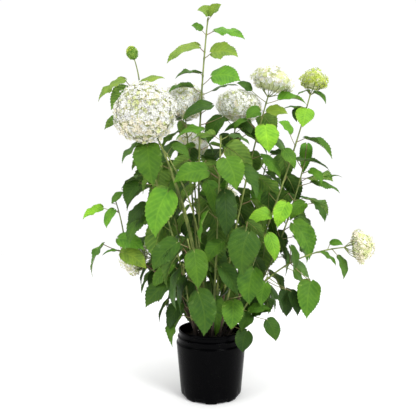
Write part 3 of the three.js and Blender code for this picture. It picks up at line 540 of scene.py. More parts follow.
def axis_point(cane, s):
    """The point at share s of a cane's axis, on the parabola through its foot, mid and tip."""
    return (
        cane["foot"] * (1 - s) * (1 - 2 * s) + cane["mid"] * 4 * s * (1 - s) + cane["tip"] * s * (2 * s - 1)
    )


def axis_direction(cane, s):
    """The axis's direction at share s."""
    return unit(cane["foot"] * (4 * s - 3) + cane["mid"] * (4 - 8 * s) + cane["tip"] * (4 * s - 1))


def across(direction):
    """Two directions across a cane, the first as near to +X as its lean allows."""
    first = unit(np.array([1.0, 0, 0]) - direction * direction[0])
    return first, np.cross(direction, first)


def cane_radius(cane, s):
    """A cane thins towards its tip and flares a little where it leaves the mix."""
    return cane["radius"] * (1 - 0.42 * s + 0.35 * math.exp(-s / 0.03))


def pair_share(cane, i):
    """Where a pair stands along its cane."""
    along = i / (cane["pairs"] - 1)
    return cane["start"] + (cane["end"] - cane["start"]) * (1 - (1 - along) ** 1.15)


for key, cane in enumerate(CANES):
    cane["key"] = key
    cane["node"] = "foliage_" + cane["name"]
    cane["foot"] = np.array([*cane["foot"], MIX_LEVEL + 0.3])
    cane["mid"] = np.array(cane["mid"], float)
    cane["tip"] = np.array(cane["tip"], float)
shoots = []
for cane in CANES:
    if "shoot" in cane:
        shoot = dict(cane["shoot"], key=cane["key"] + 100, node=cane["node"], start=0.3, end=0.98)
        shoot["foot"] = axis_point(cane, shoot["start_at"])
        shoot["tip"] = np.array(shoot["tip"], float)
        shoot["mid"] = (shoot["foot"] + shoot["tip"]) / 2 + (6, 0, 0)
        shoot["radius"] = 0.75 * cane["radius"]
        shoots.append(shoot)


class Batch:
    """Points, faces, face kinds and UVs that are gathered for one piece."""

    def __init__(self):
        self.points, self.faces, self.kinds, self.maps, self.count = [], [], [], {}, 0

    def take(self, points, faces, kind=0, **maps):
        points = np.asarray(points, float)
        self.points.append(points)
        for map_name, uv in maps.items():
            self.maps.setdefault(map_name, []).append(uv)
        self.faces += [tuple(i + self.count for i in face) for face in faces]
        self.kinds += [kind] * len(faces)
        self.count += len(points)

    def finish(self, name, materials, smooth=True):
        maps = {map_name: np.concatenate(uv) for map_name, uv in self.maps.items()}
        return build(name, np.concatenate(self.points), self.faces, materials, self.kinds, maps, smooth)


def tube(batch, centres, radii, sides, kind=0, lumps=None):
    """A closed round limb through centres. lumps scales each ring's points in and out."""
    centres = np.asarray(centres)
    rings = []
    for k, centre in enumerate(centres):
        ahead = centres[min(k + 1, len(centres) - 1)] - centres[max(k - 1, 0)]
        first, second = across(unit(ahead))
        around = np.arange(sides) * math.tau / sides
        size = radii[k] * (1 if lumps is None else lumps[k])
        ring = np.outer(size * np.cos(around), first) + np.outer(size * np.sin(around), second)
        rings.append(centre + ring)
    faces = [tuple(range(sides - 1, -1, -1))]
    for k in range(len(centres) - 1):
        a, b = k * sides, (k + 1) * sides
        faces += [(a + j, a + (j + 1) % sides, b + (j + 1) % sides, b + j) for j in range(sides)]
    faces.append(tuple(range((len(centres) - 1) * sides, len(centres) * sides)))
    length = np.concatenate([[0], np.cumsum(np.linalg.norm(np.diff(centres, axis=0), axis=1))])
    uv = np.stack([np.tile(np.arange(sides) / sides, len(centres)), np.repeat(length / 100, sides)], 1)
    batch.take(np.concatenate(rings), faces, kind, Surface=uv)


JOINT_SWELL = 0.3
JOINT_REACH = 4.5  # mm along the cane
OLD_JOINTS = [0.07, 0.15, 0.24]  # leaf scars low on the cane
BARK_SIDES, BARK_RINGS = 14, 46
STEM_SIDES, STEM_RINGS = 9, 40


def joint_swelling(cane, s, joints):
    """How much thicker the cane is at share s, near one of its joints."""
    length = np.linalg.norm(cane["tip"] - cane["foot"])
    nearest = min(abs(s - j) for j in joints) * length
    return 1 + JOINT_SWELL * math.exp(-((nearest / JOINT_REACH) ** 2))


bark_batch, green_batch = Batch(), Batch()
for cane in CANES:
    change = cane["start"] - 0.03
    joints = [pair_share(cane, i) for i in range(cane["pairs"])] + OLD_JOINTS
    joints += [row[1] for row in SET_LEAVES if row[0] == cane["name"]]
    joints = [j for j in joints if abs(j - change) > 0.01]
    shares = np.linspace(0, change, BARK_RINGS)
    lumps = []
    for k, s in enumerate(shares):
        around = np.arange(BARK_SIDES) * math.tau / BARK_SIDES
        drift = cane["key"] * 1.7 + 3 * math.sin(s * 9 + cane["key"])
        lumps.append(
            1
            + 0.05 * np.sin(3 * around + drift)
            + 0.045 * np.sin(7 * around - 2 * drift)
            + 0.02 * math.sin(k * 2.3 + cane["key"])
        )
    radii = [cane_radius(cane, s) * joint_swelling(cane, s, joints) for s in shares]
    tube(bark_batch, [axis_point(cane, s) for s in shares], radii, BARK_SIDES, 0, lumps)
    shares = sorted(set(np.linspace(change, 1, STEM_RINGS)) | {
        s + d for s in joints if s > change for d in (-0.012, -0.006, 0, 0.006, 0.012) if change < s + d < 1
    })
    radii = [cane_radius(cane, s) * joint_swelling(cane, s, joints) for s in shares]
    tube(green_batch, [axis_point(cane, s) for s in shares], radii, STEM_SIDES)
# The large head's cane has a side stem that leaves it, bows out beside it and joins it under the head.
SIDE_STEM_SHARES = (0.36, 0.95)
SIDE_STEM_BOW = np.array([1, -0.25, 0.2]) * 30
ball_cane = next(cane for cane in CANES if cane["name"] == "ball")
bow = np.linspace(0, 1, 24)
beside = [
    axis_point(ball_cane, s) + SIDE_STEM_BOW * math.sin(math.pi * k) ** 0.6 * (1 - 0.52 * k)
    for k, s in zip(bow, np.linspace(*SIDE_STEM_SHARES, len(bow)))
]
tube(green_batch, beside, np.linspace(2.9, 2.1, len(bow)), STEM_SIDES)
for shoot in shoots:
    shares = np.linspace(0, 1, 14)
    tube(green_batch, [axis_point(shoot, s) for s in shares], [cane_radius(shoot, s) for s in shares], 8)

# Thin bark: tan to grey-brown, split lengthwise every 2 mm or so.
bark, shader = new_material("cane_bark", Roughness=0.82)
runs = add(bark, "ShaderNodeUVMap", uv_map="Surface")
drawn = add(bark, "ShaderNodeMapping", {"Vector": runs.outputs["UV"], "Scale": (14, 1.6, 1)})
splits = add(
    bark, "ShaderNodeTexNoise",
    {"Vector": drawn.outputs[0], "Scale": 3.0, "Detail": 5, "Roughness": 0.6},
)
bark_colour = add(bark, "ShaderNodeValToRGB", {"Fac": splits.outputs["Fac"]})
for stop, (share, colour) in zip(bark_colour.color_ramp.elements, ((0.32, "#2E2018"), (0.68, "#7D6549"))):
    stop.position, stop.color = share, linear(colour)
# painted shade: the bark darkens to nearly black from 200 mm up to 340 mm over the floor, low among the canes
# in the pot's mouth
place = add(bark, "ShaderNodeTexCoord").outputs["Object"]
bark_place = add(bark, "ShaderNodeSeparateXYZ", {"Vector": place})
out_of_painted_shade = add(
    bark, "ShaderNodeMapRange", {"Value": bark_place.outputs["Z"], "From Min": 0.2, "From Max": 0.34}
)
bark_with_painted_shade = add(
    bark, "ShaderNodeMix",
    {"Factor": out_of_painted_shade.outputs[0], "A": linear("#1A120D"), "B": bark_colour.outputs["Color"]},
    data_type="RGBA",
)
bark.node_tree.links.new(bark_with_painted_shade.outputs["Result"], shader.inputs["Base Color"])
relief = add(bark, "ShaderNodeBump", {"Height": splits.outputs["Fac"], "Strength": 0.8, "Distance": 0.001})
bark.node_tree.links.new(relief.outputs[0], shader.inputs["Normal"])

# The green upper stem: yellow-green in patches of 30 mm, with a fine grain of specks 1 mm across.
stem_skin, shader = new_material("green_stem_skin", Roughness=0.5, IOR=1.45)
place = add(stem_skin, "ShaderNodeTexCoord").outputs["Object"]
patch = add(stem_skin, "ShaderNodeTexNoise", {"Vector": place, "Scale": 1 / 0.03, "Detail": 3})
stem_colour = add(stem_skin, "ShaderNodeValToRGB", {"Fac": patch.outputs["Fac"]})
for stop, (share, colour) in zip(stem_colour.color_ramp.elements, ((0.35, "#57672C"), (0.66, "#8A964A"))):
    stop.position, stop.color = share, linear(colour)
stem_skin.node_tree.links.new(stem_colour.outputs["Color"], shader.inputs["Base Color"])
speck = add(stem_skin, "ShaderNodeTexNoise", {"Vector": place, "Scale": 1 / 0.001, "Detail": 2})
relief = add(
    stem_skin, "ShaderNodeBump", {"Height": speck.outputs["Fac"], "Strength": 0.3, "Distance": 0.0005}
)
stem_skin.node_tree.links.new(relief.outputs[0], shader.inputs["Normal"])

canes = bark_batch.finish("woody_canes", [bark])
stems = green_batch.finish("green_stems", [stem_skin])
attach(canes, "root")
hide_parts(*["cane_" + cane["name"] for cane in CANES])
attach(stems, "root")

# ---- Leaves --------------------------------------------------------------------------------------
# Opposite pairs of heart-shaped, toothed, long-pointed leaves on slender petioles. The blade is thin,
# folded along its midrib and wavy, with side veins in pairs, and hangs more the older it is.

# shares are of the blade's length, and outward is how strongly a leaf turns away from the pot's axis
LEAF = dict(
    width_share=0.66, petiole_share=0.38, petiole_degrees=54, fold_degrees=15, arch_degrees=42,
    roll_degrees=36, twist_degrees=28, outward=0.55, young=0.28, young_rise=56,
    margin_wave=0.046, buckle=0.016, cup=0.08, curl=0.05, sway=0.08,  # shares too
)
# where a leaf may stand aside for its neighbours: degrees of heading and droop, and mm of depth
SIDESTEPS = [(0, 0), (20, -10), (-20, 10), (38, 14), (-38, -14), (0, 30), (60, 0), (-60, 0)]
DEPTH_STEPS = [0, -14, 14, -28, 28, -44, 44]
FRONT = np.array([0, -0.86, 0.51])  # the way that a listed leaf faces
TIP_MATCH = 0.3  # mm
BLADE_ROWS, BLADE_COLUMNS, MARGIN_CUTS = 9, 4, 2
BLADE_THICKNESS = 0.6  # mm
VEIN_PAIRS = 8
# share of the length, and half width there over the greatest
OUTLINE = [
    (0, 0.11), (0.015, 0.4), (0.05, 0.66), (0.1, 0.83), (0.17, 0.94), (0.26, 0.99), (0.36, 1), (0.48, 0.94),
    (0.6, 0.8), (0.71, 0.61), (0.8, 0.42), (0.87, 0.25), (0.93, 0.12), (0.97, 0.05), (1, 0.008),
]


def leaf_at(cane, i, side, sidestep):
    """One leaf's place and set, from its cane, its pair, its side and a sidestep."""
    key = cane["key"]
    s = pair_share(cane, i)
    direction = axis_direction(cane, s)
    first, second = across(direction)
    heading = math.radians(
        cane["twist"] + i * cane["turn"] + 180 * side + 20 * spread(key, i, side, 1) + sidestep[0]
    )
    aside = first * math.cos(heading) + second * math.sin(heading)
    lean = math.radians(LEAF["petiole_degrees"] + 8 * spread(key, i, side, 2))
    reach = aside * math.sin(lean) + direction * math.cos(lean)
    from_top = cane["pairs"] - 1 - i
    young = cane.get("young", LEAF["young"])
    size = (1 - young * math.exp(-0.9 * from_top)) * (1 + 0.14 * spread(key, i, side, 3))
    length = cane["blade"] * size
    root = axis_point(cane, s)
    base = root + reach * length * LEAF["petiole_share"] * (1 + 0.3 * spread(key, i, side, 4))
    outward = np.array([root[0], root[1], 0])
    outward *= LEAF["outward"] / max(np.linalg.norm(outward), 60)
    level = unit(np.array([reach[0], reach[1], 0]) + outward)
    along = i / (cane["pairs"] - 1)
    rise = LEAF["young_rise"] * young * math.exp(-1.5 * from_top)
    droop = cane["droop"][0] + (cane["droop"][1] - cane["droop"][0]) * along**1.5 - rise
    return dict(
        root=root, base=base, level=level, side=np.cross(UP, level), length=length,
        start=math.radians(droop + sidestep[1] + 13 * spread(key, i, side, 5) - LEAF["arch_degrees"] / 2),
        arch=math.radians(LEAF["arch_degrees"]),
        roll=math.radians(LEAF["roll_degrees"] * spread(key, i, side, 6)),
        along=along, keys=(key, i, side), width=LEAF["width_share"] * (1 + 0.1 * spread(key, i, side, 13)),
    )


def set_leaf_at(cane, row, number, depth):
    """A listed leaf, from its row in SET_LEAVES and a step in depth."""
    s, base, tip, facing, tint, width = row
    root = axis_point(cane, s)
    base = np.array(base, float) + (0, depth, 0)
    chord = np.array(tip, float) + (0, depth, 0) - base
    flat = math.hypot(chord[0], chord[1])
    level = np.array([chord[0] / flat, chord[1] / flat, 0])
    side = np.cross(UP, level)
    droop = math.atan2(-chord[2], flat)
    arch = math.radians(LEAF["arch_degrees"])
    normal = level * math.sin(droop) + UP * math.cos(droop)
    return dict(
        root=root, base=base, level=level, side=side,
        length=np.linalg.norm(chord) * arch / 2 / math.sin(arch / 2),
        start=droop - arch / 2, arch=arch, roll=facing * math.atan2(-FRONT @ side, FRONT @ normal),
        along=s, keys=(cane["key"] + 200, number, 0), tint=tint, width=width,
    )


def blade_points(leaf, t, offset, lift, fold):
    """Points of a blade: shares t along the midrib, across from it, and lifted off it, in mm."""
    angle = leaf["start"] + leaf["arch"] * t
    forward = leaf["length"] * (np.sin(angle) - math.sin(leaf["start"])) / leaf["arch"]
    drop = leaf["length"] * (math.cos(leaf["start"]) - np.cos(angle)) / leaf["arch"]
    normal = np.multiply.outer(np.sin(angle), leaf["level"]) + np.multiply.outer(np.cos(angle), UP)
    roll = leaf["roll"] + leaf.get("twist", 0) * (t - 0.25)
    cr, sr = np.cos(roll)[..., None], np.sin(roll)[..., None]
    wide = cr * leaf["side"] + sr * normal
    high = cr * normal - sr * leaf["side"]
    return (
        leaf["base"]
        + np.multiply.outer(forward, leaf["level"])
        - np.multiply.outer(drop, UP)
        + wide * (offset * np.cos(fold))[..., None]
        + high * (np.abs(offset) * np.sin(fold) + lift)[..., None]
    )


def tip_curl(leaf, t):
    """How far the blade curls down at share t, in mm."""
    return leaf["length"] * LEAF["curl"] * (1 + 1.4 * chance(*leaf["keys"], 15)) * t**4


def midrib_sway(leaf, t):
    """How far the midrib sways aside at share t, in mm."""
    return leaf["length"] * LEAF["sway"] * spread(*leaf["keys"], 12) * t**2


# A leaf of the solid that found room ends in a point of its own, and the leaf here goes to that place.
corner_trees = {}
for cane in CANES:
    corners = coordinates(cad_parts[cane["node"]].data)
    tree = KDTree(len(corners))
    for k, corner in enumerate(corners):
        tree.insert(corner, k)
    tree.balance()
    corner_trees[cane["node"]] = tree


def first_standing(choices, cane):
    """The first of the leaves that the solid has one for too, if any: its tip is a corner of the solid."""
    for leaf in choices:
        tip = blade_points(leaf, np.array(1.0), np.array(0.0), 0.0, 0.0)
        if corner_trees[cane["node"]].find(tip)[2] < TIP_MATCH:
            return [dict(leaf, cane=cane)]
    return []


leaves = []
for cane in CANES + shoots:
    for number, (name, *row) in enumerate(SET_LEAVES):
        if name == cane.get("name"):
            leaves += first_standing((set_leaf_at(cane, row, number, depth) for depth in DEPTH_STEPS), cane)
    for i in range(cane["pairs"]):
        s = pair_share(cane, i)
        if "shed" in cane and cane["shed"][0] < s < cane["shed"][1]:
            continue
        for side in (0, 1):
            leaves += first_standing((leaf_at(cane, i, side, sidestep) for sidestep in SIDESTEPS), cane)

# The blank: a grid in shares of length and width, its long margins cut finer for the teeth. Its base is
# drawn back into the two lobes of a heart.
deselect()
bpy.ops.mesh.primitive_grid_add(x_subdivisions=BLADE_COLUMNS, y_subdivisions=BLADE_ROWS, size=2)
blank = bpy.context.object
bpy.ops.object.mode_set(mode="EDIT")
bpy.ops.mesh.select_mode(type="EDGE")
bpy.ops.mesh.select_all(action="DESELECT")
bpy.ops.object.mode_set(mode="OBJECT")
for edge in blank.data.edges:
    edge.select = all(abs(blank.data.vertices[v].co.x) > 0.999 for v in edge.vertices)
bpy.ops.object.mode_set(mode="EDIT")
bpy.ops.mesh.subdivide(number_cuts=MARGIN_CUTS, ngon=True)
bpy.ops.object.mode_set(mode="OBJECT")
blank_corners = coordinates(blank.data) / 1000
under_faces = [tuple(p.vertices) for p in blank.data.polygons]
top_faces = [face[:1] + face[:0:-1] for face in under_faces]
bpy.data.objects.remove(blank)
u = blank_corners[:, 0]
t = (blank_corners[:, 1] + 1) / 2
step = np.rint(t * BLADE_ROWS * (MARGIN_CUTS + 1)).astype(int)
outline_t, outline_w = np.array(OUTLINE).T
half_width = np.interp(t, outline_t, outline_w)
teeth = np.where(step % 2 == 0, 1.035, 0.965)
on_edge = (np.abs(u) > 0.999) & (t > 0.05) & (t < 0.95)
inside = (np.abs(u) < 0.999) & (t > 0.001) & (t < 0.999)
across_share = u * half_width * np.where(on_edge, teeth, 1)
lobed_t = t - 0.075 * np.abs(u) ** 1.6 * np.exp(-t / 0.09) + 0.01 * on_edge * np.where(step % 2 == 0, 1, -1)
blank_surface = np.stack([across_share / 2 + 0.5, t], 1)
blank_margin = np.stack([np.abs(u), t], 1)


def leaf_skin(leaf, depth):
    """The blank bent to one leaf's set, with a wavy margin, a swayed midrib and a curled tip of its own.

    depth is how far the skin lies under the top one, which it meets at the margin.
    """
    keys = leaf["keys"]
    half = leaf["length"] * leaf["width"] / 2
    phase = math.tau * chance(*keys, 7)
    beat = 8 + 3 * spread(*keys, 8)
    edge = across_share**2
    wave = edge * np.sin(t * beat + phase + 2 * np.sign(u))
    wave += 0.6 * edge * np.sin(t * (2.3 * beat) + 2 * phase - np.sign(u))
    buckle = np.abs(across_share) * np.sin(5 * t + 1.4 * across_share + 3 * phase)
    cup = (LEAF["cup"] * spread(*keys, 11) - 0.03) * edge
    lift = leaf["length"] * (LEAF["margin_wave"] * wave + LEAF["buckle"] * buckle + cup)
    lift -= tip_curl(leaf, t) + depth * inside
    fold = math.radians(LEAF["fold_degrees"] * (1 + 0.7 * spread(*keys, 9))) * (1 - 0.4 * t)
    offset = across_share * half * (1 + 0.07 * spread(*keys, 16) * np.sign(u))
    twisted = dict(leaf, twist=math.radians(LEAF["twist_degrees"]) * spread(*keys, 14))
    points = blade_points(twisted, lobed_t, offset, lift, fold)
    return points + np.multiply.outer(midrib_sway(leaf, t), leaf["side"])


# Tissue colours of a leaf's two sides, from lit to shaded: partly the leaves' own tones and partly painted
# light and shade. A leaf of a pair has one of bright to shade, by its tone.
TINTS = [
    ("lime", "#76AE2D", "#88AC3F"), ("bright", "#568A28", "#6F9644"), ("fresh", "#47721F", "#5F8438"),
    ("mid", "#3F661B", "#4F7230"), ("deep", "#345619", "#42622B"), ("shade", "#264214", "#335221"),
    ("olive", "#6B8A30", "#789343"), ("spring", "#6EA52D", "#7FA146"),
]
# how much lighter or darker a cane's leaves are: partly their own tone and partly painted shade, darker on
# the canes at the back
CANE_TONE_AND_SHADE = {
    "tall": 0.05, "ball": 0.0, "bud": 0.05, "rear_left": -0.1, "centre_right": -0.1, "upper_right": 0.1,
    "lime": 0.1, "right": -0.05, "low_right": 0.0, "low_left": 0.3, "left": 0.0, "front_left": 0.0,
    "front_right": 0.0, "front": 0.05, "pot_left": -0.1, "pot_right": -0.05, "low_rear_left": -0.05,
    "rear_upper_left": -0.05, "rear": -0.1, "rear_right": -0.05, "low_rear": -0.05,
}


def leaf_tissue(name, hex_colour, rough, vein_share):
    """Leaf tissue: waxy cuticle over green flesh, paler along its veins, mottled every 26 mm."""
    tissue, shader = new_material(name, Roughness=rough, IOR=1.42, Specular_IOR_Level=0.18)
    uv = add(tissue, "ShaderNodeUVMap", uv_map="Surface").outputs["UV"]
    place = add(tissue, "ShaderNodeTexCoord").outputs["Object"]
    split = add(tissue, "ShaderNodeSeparateXYZ", {"Vector": uv})
    off = add(tissue, "ShaderNodeMath", {0: split.outputs["X"], 1: 0.5}, operation="SUBTRACT")
    off = add(tissue, "ShaderNodeMath", {0: off.outputs[0]}, operation="ABSOLUTE")
    ribs = add(
        tissue, "ShaderNodeMath", {0: off.outputs[0], 1: -0.6, 2: split.outputs["Y"]},
        operation="MULTIPLY_ADD",
    )
    ribs = add(tissue, "ShaderNodeMath", {0: ribs.outputs[0], 1: VEIN_PAIRS}, operation="MULTIPLY")
    ribs = add(tissue, "ShaderNodeMath", {0: ribs.outputs[0], 1: 0.5}, operation="PINGPONG")
    side_vein = add(
        tissue, "ShaderNodeMapRange",
        {"Value": ribs.outputs[0], "From Min": 0.0, "From Max": 0.3, "To Min": vein_share, "To Max": 0.0},
    )
    midrib = add(
        tissue, "ShaderNodeMapRange",
        {
            "Value": off.outputs[0], "From Min": 0.004, "From Max": 0.05,
            "To Min": vein_share * 1.5, "To Max": 0.0,
        },
    )
    veins = add(
        tissue, "ShaderNodeMath", {0: side_vein.outputs[0], 1: midrib.outputs[0]}, operation="MAXIMUM"
    )
    mottle = add(tissue, "ShaderNodeTexNoise", {"Vector": place, "Scale": 1 / 0.026, "Detail": 5})
    mottle_share = add(
        tissue, "ShaderNodeMapRange", {"Value": mottle.outputs["Fac"], "From Min": 0.3, "From Max": 0.7}
    )
    red, green, blue = linear(hex_colour)[:3]
    dark = (red * 0.62, green * 0.73, blue * 0.82, 1)
    light = (min(1, red * 1.34), min(1, green * 1.25), blue * 1.1, 1)
    flesh = add(
        tissue, "ShaderNodeMix", {"Factor": mottle_share.outputs[0], "A": dark, "B": light}, data_type="RGBA"
    )
    # the tissue yellows a little from leaf to leaf, and along its margin and towards its tip
    drift = add(tissue, "ShaderNodeTexNoise", {"Vector": place, "Scale": 1 / 0.11, "Detail": 1})
    from_midrib = add(tissue, "ShaderNodeUVMap", uv_map="Margin").outputs["UV"]
    margin = add(tissue, "ShaderNodeSeparateXYZ", {"Vector": from_midrib})
    rim = add(
        tissue, "ShaderNodeMapRange",
        {"Value": margin.outputs["X"], "From Min": 0.6, "From Max": 1.0, "To Min": 0.0, "To Max": 0.5},
    )
    tip = add(
        tissue, "ShaderNodeMapRange",
        {"Value": margin.outputs["Y"], "From Min": 0.7, "From Max": 1.0, "To Min": 0.0, "To Max": 0.5},
    )
    outer = add(tissue, "ShaderNodeMath", {0: rim.outputs[0], 1: tip.outputs[0]}, operation="ADD")
    drifted = add(
        tissue, "ShaderNodeMapRange",
        {"Value": drift.outputs["Fac"], "From Min": 0.38, "From Max": 0.66, "To Min": 0.05, "To Max": 0.85},
    )
    yellowing = add(
        tissue, "ShaderNodeMath", {0: outer.outputs[0], 1: 0.3}, operation="ADD", use_clamp=True,
    )
    yellowing = add(
        tissue, "ShaderNodeMath", {0: yellowing.outputs[0], 1: drifted.outputs[0]}, operation="MULTIPLY",
        use_clamp=True,
    )
    golden = (min(1, red * 1.5), min(1, green * 1.18), blue, 1)
    pale = (min(1, red * 2.2 + 0.01), min(1, green * 1.7 + 0.01), blue * 1.5, 1)
    flesh = add(
        tissue, "ShaderNodeMix",
        {"Factor": yellowing.outputs[0], "A": flesh.outputs["Result"], "B": golden}, data_type="RGBA",
    )
    colour = add(
        tissue, "ShaderNodeMix",
        {"Factor": veins.outputs[0], "A": flesh.outputs["Result"], "B": pale}, data_type="RGBA",
    )
    tissue.node_tree.links.new(colour.outputs["Result"], shader.inputs["Base Color"])
    grain = add(tissue, "ShaderNodeTexNoise", {"Vector": place, "Scale": 1 / 0.0025, "Detail": 3})
    height = add(
        tissue, "ShaderNodeMath", {0: veins.outputs[0], 1: -1.2, 2: grain.outputs["Fac"]},
        operation="MULTIPLY_ADD",
    )
    relief = add(tissue, "ShaderNodeBump", {"Height": height.outputs[0], "Strength": 0.8, "Distance": 0.0014})
    tissue.node_tree.links.new(relief.outputs[0], shader.inputs["Normal"])
    return tissue


blade_batches = [Batch() for _ in TINTS]
for leaf in leaves:
    key, i, side = leaf["keys"]
    cane_name = leaf["cane"]["name"]
    # painted light and shade with the leaf's own tone: leaves higher up are lighter and lower ones darker,
    # young ones paler, and each a little lighter or darker at random
    tone_and_shade = (
        0.36 + CANE_TONE_AND_SHADE.get(cane_name, 0) + 0.22 * (leaf["base"][2] - 600) / 600 + 0.1 * leaf["along"]
        + 0.3 * spread(key, i, side, 10)
    )
    tint = leaf.get("tint", min(5, max(1, int((1 - tone_and_shade) * 6))))
    for kind, faces, depth in ((0, top_faces, 0), (1, under_faces, BLADE_THICKNESS)):
        skin = leaf_skin(leaf, depth)
        blade_batches[tint].take(skin, faces, kind, Surface=blank_surface, Margin=blank_margin)

for (name, top_hex, under_hex), batch in zip(TINTS, blade_batches):
    if not batch.count:
        continue
    top_side = leaf_tissue("leaf_cuticle_" + name, top_hex, 0.5, 0.22)
    under_side = leaf_tissue("leaf_underside_" + name, under_hex, 0.75, 0.4)
    blades = batch.finish("leaves_" + name, [top_side, under_side])
    deselect()
    blades.select_set(True)
    bpy.context.view_layer.objects.active = blades
    bpy.ops.object.mode_set(mode="EDIT")
    bpy.ops.mesh.select_all(action="SELECT")
    bpy.ops.mesh.remove_doubles(threshold=1e-6)
    bpy.ops.object.mode_set(mode="OBJECT")
    bpy.ops.object.shade_smooth_by_angle(angle=math.radians(60))
    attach(blades, "root")

# Petioles, pinkish tan to green, run on under the blade as its green midrib.
PETIOLE_RADII = np.array([1.9, 1.6, 1.45, 1.4, 1.4, 1.5])
RIB_SHARES = np.array([0, 0.06, 0.2, 0.4, 0.62, 0.82])
RIB_RADII = np.array([1.5, 1.35, 1.1, 0.85, 0.6, 0.35])
RIB_CLEARANCE = 0.5
petiole_batch = Batch()
for leaf in leaves:
    length = leaf["length"]
    stoutness = 0.55 + 0.45 * length / 120
    run = leaf["base"] - leaf["root"]
    sag = 0.03 * np.linalg.norm(run)
    shares = np.linspace(0, 1, len(PETIOLE_RADII))
    centres = [leaf["root"] + run * k - UP * sag * math.sin(math.pi * k) for k in shares]
    tube(petiole_batch, centres, PETIOLE_RADII * stoutness, 6)
    rib_radii = RIB_RADII * stoutness
    under = -rib_radii - RIB_CLEARANCE - tip_curl(leaf, RIB_SHARES)
    under[0] = 0
    flat = np.zeros(len(RIB_SHARES))
    rib = blade_points(leaf, RIB_SHARES, flat, under, flat)
    rib += np.multiply.outer(midrib_sway(leaf, RIB_SHARES), leaf["side"])
    tube(petiole_batch, rib, rib_radii, 6, 1)
petiole_skin, shader = new_material("petiole_skin", Roughness=0.55, IOR=1.45)
place = add(petiole_skin, "ShaderNodeTexCoord").outputs["Object"]
blush = add(petiole_skin, "ShaderNodeTexNoise", {"Vector": place, "Scale": 1 / 0.05, "Detail": 2})
petiole_colour = add(petiole_skin, "ShaderNodeValToRGB", {"Fac": blush.outputs["Fac"]})
for stop, (share, colour) in zip(petiole_colour.color_ramp.elements, ((0.4, "#828D47"), (0.62, "#80654A"))):
    stop.position, stop.color = share, linear(colour)
petiole_skin.node_tree.links.new(petiole_colour.outputs["Color"], shader.inputs["Base Color"])
petioles = petiole_batch.finish("petioles", [petiole_skin, stem_skin])
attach(petioles, "root")

# ---- Flower heads --------------------------------------------------------------------------------
# Rounded corymbs of sterile florets, each of four or five broad petals round a bead, on fine stalks that
# fan from the cane's tip. Old heads are white with cream, and young ones lime green.

# under is the lower half's depth over the upper half's, seat how far the head's middle is past the cane's
# tip as a share of its height, and core the core's size as a share of the head's. The florets reach down
# to bottom, where -1 is the very bottom, and stand in clusters with clefts of depth relief between them.
# tilt is how far a floret leans at most, pitch its spacing and span the length of a petal, in mm.
HEADS = dict(
    ball=dict(
        under=1.0, seat=0.45, core=0.87, bottom=-1.0, clusters=44, relief=0.05, tilt=0.34, pitch=9.6,
        span=6.4,
    ),
    dome=dict(
        under=0.34, seat=0.62, core=0.8, bottom=-0.85, clusters=13, relief=0.24, tilt=0.5, pitch=9.8,
        span=5.8,
    ),
    bud=dict(under=1.0, seat=0.42, core=0.84),
)
# One petal, a shallow closed cup: outline points, then two raised points on its midline
PETAL = np.array([
    (0.06, 0, 0), (0.42, -0.36, 0.05), (0.8, -0.42, 0.12), (1.0, 0, 0.2), (0.8, 0.42, 0.12),
    (0.42, 0.36, 0.05), (0.4, 0, 0.13), (0.78, 0, 0.2),
])
PETAL_FACES = [
    (0, 1, 6), (0, 6, 5), (1, 2, 7, 6), (5, 6, 7, 4), (2, 3, 7), (3, 4, 7), (0, 5, 1), (1, 5, 4, 2),
    (2, 4, 3),
]
BEAD = np.array([(0.18, 0, 0), (0, 0.18, 0), (-0.18, 0, 0), (0, -0.18, 0), (0, 0, 0.26), (0, 0, -0.06)])
BEAD_FACES = [(0, 1, 4), (1, 2, 4), (2, 3, 4), (3, 0, 4), (1, 0, 5), (2, 1, 5), (3, 2, 5), (0, 3, 5)]


def head_frame(cane):
    """Where a head sits: its centre, the cane's tip, three directions and its half sizes."""
    kind, width, height = cane["head"]
    shape = HEADS[kind]
    direction = axis_direction(cane, 1)
    first, second = across(direction)
    tip = axis_point(cane, 1)
    centre = tip + direction * height * shape["seat"]
    tall = height * (1 - 0.5 * shape["under"]) if shape["under"] < 1 else height / 2
    return kind, shape, tip, centre, first, second, direction, width / 2, tall


def golden_points(count):
    """Points spread evenly over a unit ball, from its top down."""
    k = np.arange(count) + 0.5
    z = 1 - 2 * k / count
    heading = math.pi * (1 + 5**0.5) * k
    flat = np.sqrt(1 - z * z)
    return np.stack([flat * np.cos(heading), flat * np.sin(heading), z], 1)


def petal_material(name, inner_hex, outer_hex, rough=0.62):
    """Petal tissue: matt, finely veined and thin enough to glow, with a soft mottle every 9 mm."""
    tissue, shader = new_material(
        name, Roughness=rough, IOR=1.4, Specular_IOR_Level=0.2, Subsurface_Weight=0.3,
        Subsurface_Radius=(1, 1, 0.85), Subsurface_Scale=0.004,
    )
    place = add(tissue, "ShaderNodeTexCoord").outputs["Object"]
    mottle = add(tissue, "ShaderNodeTexNoise", {"Vector": place, "Scale": 1 / 0.009, "Detail": 3})
    share = add(
        tissue, "ShaderNodeMapRange", {"Value": mottle.outputs["Fac"], "From Min": 0.35, "From Max": 0.65}
    )
    colour = add(
        tissue, "ShaderNodeMix",
        {"Factor": share.outputs[0], "A": linear(inner_hex), "B": linear(outer_hex)}, data_type="RGBA",
    )
    tissue.node_tree.links.new(colour.outputs["Result"], shader.inputs["Base Color"])
    vein = add(tissue, "ShaderNodeTexNoise", {"Vector": place, "Scale": 1 / 0.0015, "Detail": 2})
    relief = add(
        tissue, "ShaderNodeBump", {"Height": vein.outputs["Fac"], "Strength": 0.25, "Distance": 0.0004}
    )
    tissue.node_tree.links.new(relief.outputs[0], shader.inputs["Normal"])
    return tissue


